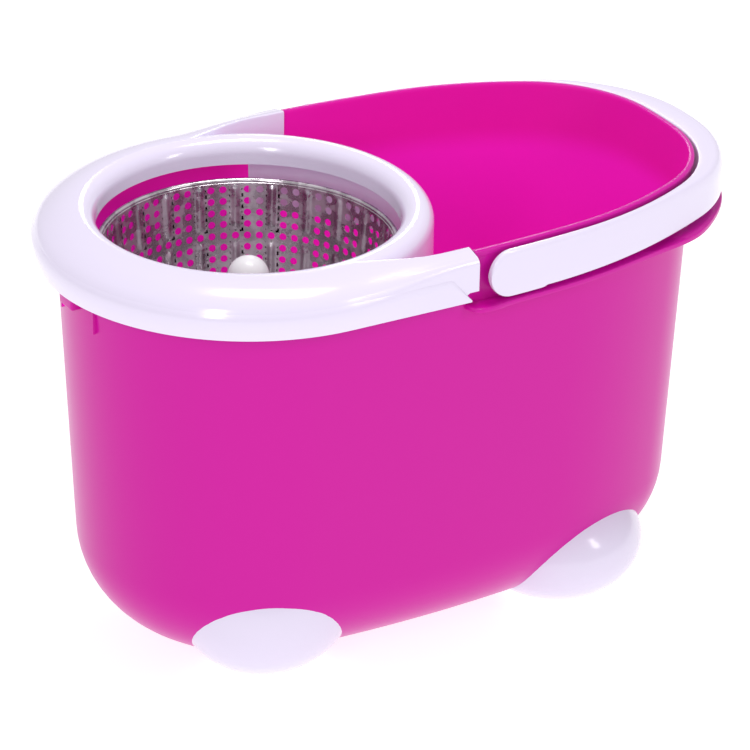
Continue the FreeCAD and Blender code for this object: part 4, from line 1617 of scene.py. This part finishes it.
        w.join(w.maths("MULTIPLY", reach, w.maths("COSINE", turn)), rolled.inputs[0])
        w.join(w.maths("MULTIPLY", reach, w.maths("SINE", turn)), rolled.inputs[1])
        w.join(split.outputs[2], rolled.inputs[2])
        bend = w.node("GeometryNodeSetPosition")
        w.join(real.outputs[0], bend.inputs["Geometry"])
        w.join(rolled.outputs[0], bend.inputs["Position"])
        weld = w.node("GeometryNodeMergeByDistance")
        weld.inputs["Distance"].default_value = self.weld
        w.join(bend.outputs[0], weld.inputs["Geometry"])
        last = w.node("GeometryNodeRealizeInstances")
        w.join(weld.outputs[0], last.inputs["Geometry"])
        paint = w.node("GeometryNodeSetMaterial")
        w.join(last.outputs[0], paint.inputs["Geometry"])
        w.join(given.outputs["Finish"], paint.inputs["Material"])
        w.join(paint.outputs[0], out.inputs["Geometry"])
        return tree

    def perforated_wall(self, shop: Workshop, shell: Shell) -> None:
        """Adds the rolled, perforated wall.

        Args:
            shop: the workshop that keeps the finishes.
            shell: the part's shell, which gets the new skin.
        """
        holder = self.pattern()
        tiles = {kind: self.tile(kind) for kind in Tile}
        tree = self.roll_tree()
        modifier = holder.modifiers.new("roll", "NODES")
        modifier.node_group = tree
        values: dict[str, object] = {"Tile " + kind.name: obj for kind, obj in tiles.items()}
        values["Finish"] = shop.finish_of(BASKET_STEEL)
        for item in tree.interface.items_tree:
            if item.in_out == "INPUT" and item.name in values:
                modifier[item.identifier] = values[item.name]
        holder.update_tag()
        bpy.context.view_layer.update()
        evaluated = holder.evaluated_get(bpy.context.evaluated_depsgraph_get())
        mesh = bpy.data.meshes.new_from_object(evaluated)
        bm = bmesh.new()
        bm.from_mesh(mesh)
        shell.take(bm)
        holder.modifiers.clear()
        for obj in (holder, *tiles.values()):
            bpy.data.objects.remove(obj)
        bpy.data.meshes.remove(mesh)

    def turned_parts(self, shell: Shell) -> None:
        """Adds the neck and rolled rim above the wall, and the corner and floor below it.

        Args:
            shell: the part's shell, which gets the new skin.
        """
        high = self.middle_z + self.rows / 2 * self.pitch
        low = self.middle_z - self.rows / 2 * self.pitch
        steps = self.columns * 2
        roll = [(self.wall_radius(high), high), (self.wall_radius(high) + 0.05, high + 0.4)]
        roll += arc((self.rim_radius, self.top_z), self.rolled, 200, -70, 18)
        roll += [(self.rim_radius - 0.9, self.top_z - 0.6), (self.wall_radius(high) + self.sheet, high)]
        shell.turned(roll, steps)
        inner = [(self.wall_radius(low), low)]
        bottom = self.floor_z + self.sheet
        middle = (self.wall_radius(low) - self.corner, bottom + self.corner)
        inner += [(self.wall_radius(z), z) for z in (low - (low - middle[1]) * k / 3 for k in range(1, 3))]
        inner += arc(middle, self.corner - self.corner_soft, 0, -90, 14)
        inner += [(r, bottom + up) for r, up in self.floor_steps]
        pressed = self.sheet * self.pressed_thin
        outer = [(r + self.sheet, z) if z > middle[1] else (r + pressed, z - pressed) for r, z in inner]
        shell.turned(inner + outer[::-1] + [inner[0]], steps)

    def build(self, shop: Workshop) -> bpy.types.Object:
        """Builds the basket.

        Args:
            shop: the workshop that keeps the finishes.

        Returns:
            The finished piece.
        """
        shell = Shell()
        self.perforated_wall(shop, shell)
        self.turned_parts(shell)
        piece = shell.finish("perforated_basket", 34.0)
        shop.dress(piece, BASKET_STEEL)
        shop.fasten(piece, Body.SPINNER, ["spin_basket"])
        return piece


# ---------------------------------------------------------------------------------------------------------------
# Bail handle


@dataclass
class BailHandle:
    """The bail that wraps the rear of the rim: a moulded channel with round ends and a trunnion at each."""

    gap: float = 3.6
    pivot_x: float = 124.5
    pivot_z: float = 303.0
    end_round: float = 17.0
    top: float = 320.0
    channel_wall: float = 2.6
    step_x: float = 151.0
    step_up: float = 1.1
    low_front: float = 286.0
    low_rear: float = 289.0
    length: float = 640.0
    side_round: float = 8.5
    soft: float = 1.2
    strap_steps: int = 240
    end_steps: int = 14
    trunnion: float = 6.0
    trunnion_tip: float = 133.4
    trunnion_root: float = 140.4

    def shares(self) -> list[float]:
        """Lists places along the strap, closer together at its round ends.

        Returns:
            Rising shares of its length.
        """
        near, far = self.end_steps, self.strap_steps
        tip = [self.end_round * (1 - math.cos(math.pi / 2 * k / near)) / self.length for k in range(near)]
        middle = [tip[-1] + (1 - 2 * tip[-1]) * k / far for k in range(1, far)]
        return tip + middle + [1 - t for t in reversed(tip)]

    def section(self, width: float, low: float, high: float) -> list[Pair]:
        """Draws the strap's closed section, open underneath like a channel.

        Args:
            width: how wide the strap is here.
            low: its lower edge.
            high: its top.

        Returns:
            (distance from the inner face, z) once round.
        """
        tall = high - low
        side = min(0.46 * width, self.side_round)
        drop = min(2.0 + 0.45 * min(width, 24.0), 0.45 * tall)
        soft = min(self.soft, 0.22 * width, 0.2 * tall)
        path = [(0.0, blend_value(low + soft, high - soft, k / 4)) for k in range(4)]
        for a in (math.pi / 8 * k for k in range(5)):
            path.append((soft - soft * math.cos(a), high - soft + soft * math.sin(a)))
        for a in (math.pi / 16 * k for k in range(9)):
            path.append((width - side + side * math.sin(a), high - drop + drop * math.cos(a)))
        path += [(width, blend_value(high - drop, low + soft, k / 4)) for k in range(1, 5)]
        for a in (math.pi / 6 * k for k in range(1, 4)):
            path.append((width - soft + soft * math.cos(a), low + soft - soft * math.sin(a)))
        wall = min(self.channel_wall, 0.4 * width)
        deep = max(0.05, 0.68 * tall * ease(7.0, 14.0, width))
        path += [(width - wall, low), (width - wall - 0.01, low + deep * 0.5), (width - wall - 0.3, low + deep)]
        path += [(wall + 0.3, low + deep), (wall + 0.01, low + deep * 0.5), (wall, low), (soft, low)]
        return path

    def strap(self, shell: Shell) -> None:
        """Adds the channel.

        Args:
            shell: the part's shell, which gets the new skin.
        """
        start = self.pivot_x - self.end_round + 0.05
        inner = walk(TUB_RIM.sweep(self.gap, start), self.shares())
        outer = walk(STRAP_EDGE.sweep(0.0, start), self.shares())
        rows = []
        for (ix, iy, _), (ox, oy, _) in zip(inner, outer):
            width = math.dist((ix, iy), (ox, oy))
            ux, uy = (ox - ix) / width, (oy - iy) / width
            low, high = blend_value(self.low_front, self.low_rear, ease(140.0, 340.0, ox)), self.top
            low += self.step_up * ease(self.step_x, self.step_x + 1.5, ox)
            if ox < self.pivot_x:
                reach = math.sqrt(max(self.end_round**2 - (self.pivot_x - ox) ** 2, 1.0))
                low, high = self.pivot_z - reach, self.pivot_z + reach
            rows.append([(ix + ux * d, iy + uy * d, z) for d, z in self.section(width, low, high)])
        shell.loft(rows, around=True)

    def trunnions(self, shell: Shell) -> None:
        """Adds the pin at each end that turns in the tub's wall.

        Args:
            shell: the part's shell, which gets the new skin.
        """
        tip, root, radius = self.trunnion_tip, self.trunnion_root, self.trunnion
        pin = [(0.0, tip), (radius - 0.8, tip), (radius, tip + 0.8)]
        pin += [(radius, root - 1.4), (radius + 1.0, root - 0.2), (0.0, root)]
        for side in (-1, 1):
            rows = []
            for i in range(40):
                a = 2 * math.pi * i / 40
                cos, sin = math.cos(a), math.sin(a)
                rows.append([(self.pivot_x + r * cos, side * d, self.pivot_z + r * sin) for r, d in pin])
            shell.loft(rows, around=False, along=True)

    def build(self, shop: Workshop) -> bpy.types.Object:
        """Builds the handle.

        Args:
            shop: the workshop that keeps the finishes.

        Returns:
            The finished piece.
        """
        shell = Shell()
        self.strap(shell)
        self.trunnions(shell)
        piece = shell.finish("bail_strap", 40.0)
        shop.dress(piece, WHITE)
        shop.fasten(piece, Body.HANDLE, ["bail_handle"])
        return piece


# ---------------------------------------------------------------------------------------------------------------
# Feet


class TubSkin:
    """Tells how high the tub's outer skin stands over a place, so that feet can be trimmed to it."""

    lower_points = 26
    wall_climb = 22.0

    def __init__(self, tub: WashTub) -> None:
        """Notes the rim outline and the lower part of the wall's section."""
        self.rim = [(s.at(0.0), (math.cos(s.angle), math.sin(s.angle))) for s in TUB_RIM.stations(4.0)]
        self.section = tub.profile()[: self.lower_points]

    def offset(self, x: float, y: float) -> float:
        """Returns how far outside the rim outline a place lies; inside it is negative."""
        (px, py), (nx, ny) = min(self.rim, key=lambda item: (item[0][0] - x) ** 2 + (item[0][1] - y) ** 2)
        return (x - px) * nx + (y - py) * ny

    def height(self, x: float, y: float) -> float:
        """Finds the outer skin's height over a place.

        Args:
            x: the place along the bucket.
            y: the place across it.

        Returns:
            The height.
        """
        goal = self.offset(x, y)
        if goal <= self.section[0][0]:
            return self.section[0][1]
        for (o0, z0), (o1, z1) in zip(self.section, self.section[1:]):
            if o0 <= goal <= o1:
                return blend_value(z0, z1, (goal - o0) / max(o1 - o0, 1e-9))
        return self.section[-1][1] + (goal - self.section[-1][0]) * self.wall_climb


@dataclass
class DomeFeet:
    """Four smooth domes that carry the tub and reach up its sides."""

    front: Point = (-18.9, 63.4, 56.2)
    front_half: Point = (65.0, 57.0, 57.0)
    rear: Point = (216.5, 61.7, 43.6)
    rear_half: Point = (63.0, 66.0, 44.4)
    sunk: float = 1.0
    around: int = 120
    up: int = 30
    over: int = 12
    trim_steps: int = 14

    def dome(self, centre: Point, half: Point, side: int, skin: TubSkin) -> list[list[Point]]:
        """Returns one foot's rows, from the sole up the outside and back over the hidden top.

        Args:
            centre: the dome's centre, for the left side.
            half: the dome's half sizes.
            side: 1 for the left foot, -1 for the right one.
            skin: the tub's outer skin.

        Returns:
            Rows of points; each row is a closed ring.
        """

        def point(turn: float, rise: float) -> Point:
            """Finds a point on the dome.

            Args:
                turn: its direction in plan.
                rise: its angle up from level.

            Returns:
                The point.
            """
            x = centre[0] + half[0] * math.cos(rise) * math.cos(turn)
            y = centre[1] + half[1] * math.cos(rise) * math.sin(turn)
            return (x, y, centre[2] + half[2] * math.sin(rise))

        rims = []
        for i in range(self.around):
            turn = 2 * math.pi * i / self.around
            low, high = -math.pi / 2, math.pi / 2
            for _ in range(self.trim_steps):
                middle = (low + high) / 2
                x, y, z = point(turn, middle)
                if z > skin.height(x, y) + self.sunk:
                    high = middle
                else:
                    low = middle
            rims.append((turn, low))
        rows = []
        for k in range(self.up + 1):
            share = (k + 0.4) / (self.up + 0.4)
            row = []
            for turn, top in rims:
                x, y, z = point(turn, -math.pi / 2 + (top + math.pi / 2) * share)
                row.append((x, side * y, max(z, 0.0)))
            rows.append(row)
        for k in range(1, self.over):
            row, share = [], k / self.over
            for turn, top in rims:
                x, y, _ = point(turn, top)
                x, y = blend_value(x, centre[0], share), blend_value(y, centre[1] * 0.8, share)
                row.append((x, side * y, skin.height(x, y) + self.sunk))
            rows.append(row)
        return rows

    def build(self, shop: Workshop) -> list[bpy.types.Object]:
        """Builds the feet.

        Args:
            shop: the workshop that keeps the finishes.

        Returns:
            The four finished pieces.
        """
        skin = TubSkin(WashTub())
        pieces = []
        for place, centre, half in (("front", self.front, self.front_half), ("rear", self.rear, self.rear_half)):
            for word, side in (("left", 1), ("right", -1)):
                shell = Shell()
                shell.loft(self.dome(centre, half, side, skin), around=True)
                piece = shell.finish(f"dome_foot_{place}_{word}", 50.0)
                shop.dress(piece, FOOT_WHITE)
                shop.fasten(piece, Body.BUCKET, [f"foot_{place}_{word}"])
                pieces.append(piece)
        return pieces


# ---------------------------------------------------------------------------------------------------------------
# Studio


@dataclass(frozen=True)
class Softbox:
    """A soft rectangular light that faces a point."""

    name: str
    place: Point
    size: Pair
    power: float
    target: Point = (0.0, 0.0, 0.17)

    def hang(self) -> None:
        """Adds the light."""
        data = bpy.data.lights.new(self.name, "AREA")
        data.shape = "RECTANGLE"
        data.size, data.size_y = self.size
        data.energy = self.power
        lamp = bpy.data.objects.new(self.name, data)
        lamp.location = self.place
        aim = Vector(self.target) - Vector(self.place)
        lamp.rotation_euler = aim.to_track_quat("-Z", "Y").to_euler()
        bpy.context.collection.objects.link(lamp)


@dataclass
class Studio:
    """A plain white sweep, soft lights and the camera."""

    camera_place: Point = (-1.2695, -2.1926, 1.4463)
    right: Point = (0.87028, -0.49231, 0.01544)
    up: Point = (0.20998, 0.3992, 0.8925)
    lens: float = 192.0
    sensor: float = 36.0
    clip: Pair = (0.1, 50.0)
    floor_reach: float = 12.0
    floor_glow: float = 0.82
    surround: float = 0.56
    boxes: tuple[Softbox, ...] = (
        Softbox("key", (-1.45, -1.35, 1.25), (0.3, 0.9), 9.0),
        Softbox("side", (1.05, -1.85, 1.3), (0.32, 0.8), 6.0),
        Softbox("rear", (1.1, 1.9, 1.3), (0.35, 0.35), 3.0),
        Softbox("top", (0.15, 0.1, 2.0), (0.8, 0.4), 15.0, (0.05, 0.0, 0.2)),
    )

    def camera(self) -> None:
        """Adds the camera."""
        data = bpy.data.cameras.new("camera")
        data.lens, data.sensor_width = self.lens, self.sensor
        data.clip_start, data.clip_end = self.clip
        right, up = Vector(self.right).normalized(), Vector(self.up)
        back = right.cross(up).normalized()
        up = back.cross(right)
        turn = Matrix((right, up, back)).transposed().to_4x4()
        camera = bpy.data.objects.new("camera", data)
        camera.matrix_world = Matrix.Translation(self.camera_place) @ turn
        bpy.context.collection.objects.link(camera)
        bpy.context.scene.camera = camera

    def floor(self) -> None:
        """Adds the pale floor."""
        mesh = bpy.data.meshes.new("floor")
        reach = self.floor_reach
        corners = [(-reach, -reach, 0), (reach, -reach, 0), (reach, reach, 0), (-reach, reach, 0)]
        mesh.from_pydata(corners, [], [(0, 1, 2, 3)])
        floor = bpy.data.objects.new("floor", mesh)
        bpy.context.collection.objects.link(floor)
        material, w, shader = start_material("white_floor")
        cloud = w.ramp(w.noise(w.here(), 3.0, 2.0), 0.3, 0.7)
        shade = w.mix(cloud, (0.40, 0.40, 0.405, 1), (0.42, 0.42, 0.42, 1))
        w.join(shade, shader.inputs["Base Color"])
        shader.inputs["Roughness"].default_value = 0.9
        shader.inputs["Specular IOR Level"].default_value = 0.1
        shader.inputs["Emission Color"].default_value = (1.0, 1.0, 1.0, 1)
        shader.inputs["Emission Strength"].default_value = self.floor_glow
        mesh.materials.append(material)

    def lights(self) -> None:
        """Adds the softboxes and the white surround."""
        world = bpy.data.worlds.new("surround")
        world.use_nodes = True
        background = world.node_tree.nodes["Background"]
        background.inputs["Color"].default_value = (1.0, 0.99, 1.0, 1)
        background.inputs["Strength"].default_value = self.surround
        bpy.context.scene.world = world
        for box in self.boxes:
            box.hang()
        bpy.context.scene.view_settings.view_transform = "Standard"

    def build(self) -> None:
        """Adds everything."""
        self.camera()
        self.floor()
        self.lights()


def dress_carried_over(shop: Workshop) -> None:
    """Gives every carried-over CAD node its finish.

    Args:
        shop: the workshop that keeps the finishes.
    """
    for name, finish in CARRIED_OVER.items():
        node = frame["nodes"][name]
        node.data.materials.clear()
        node.data.materials.append(shop.finish_of(finish))
    LOG.info("dressed %d carried-over nodes", len(CARRIED_OVER))


def main() -> None:
    """Builds the whole bucket in order."""
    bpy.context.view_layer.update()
    shop = Workshop()
    dress_carried_over(shop)
    for maker in (WashTub(), SplashCollar(), SpinBasket(), BailHandle(), DomeFeet()):
        maker.build(shop)
    Studio().build()


if __name__ == "__main__":
    logging.basicConfig(level=logging.INFO)
    main()
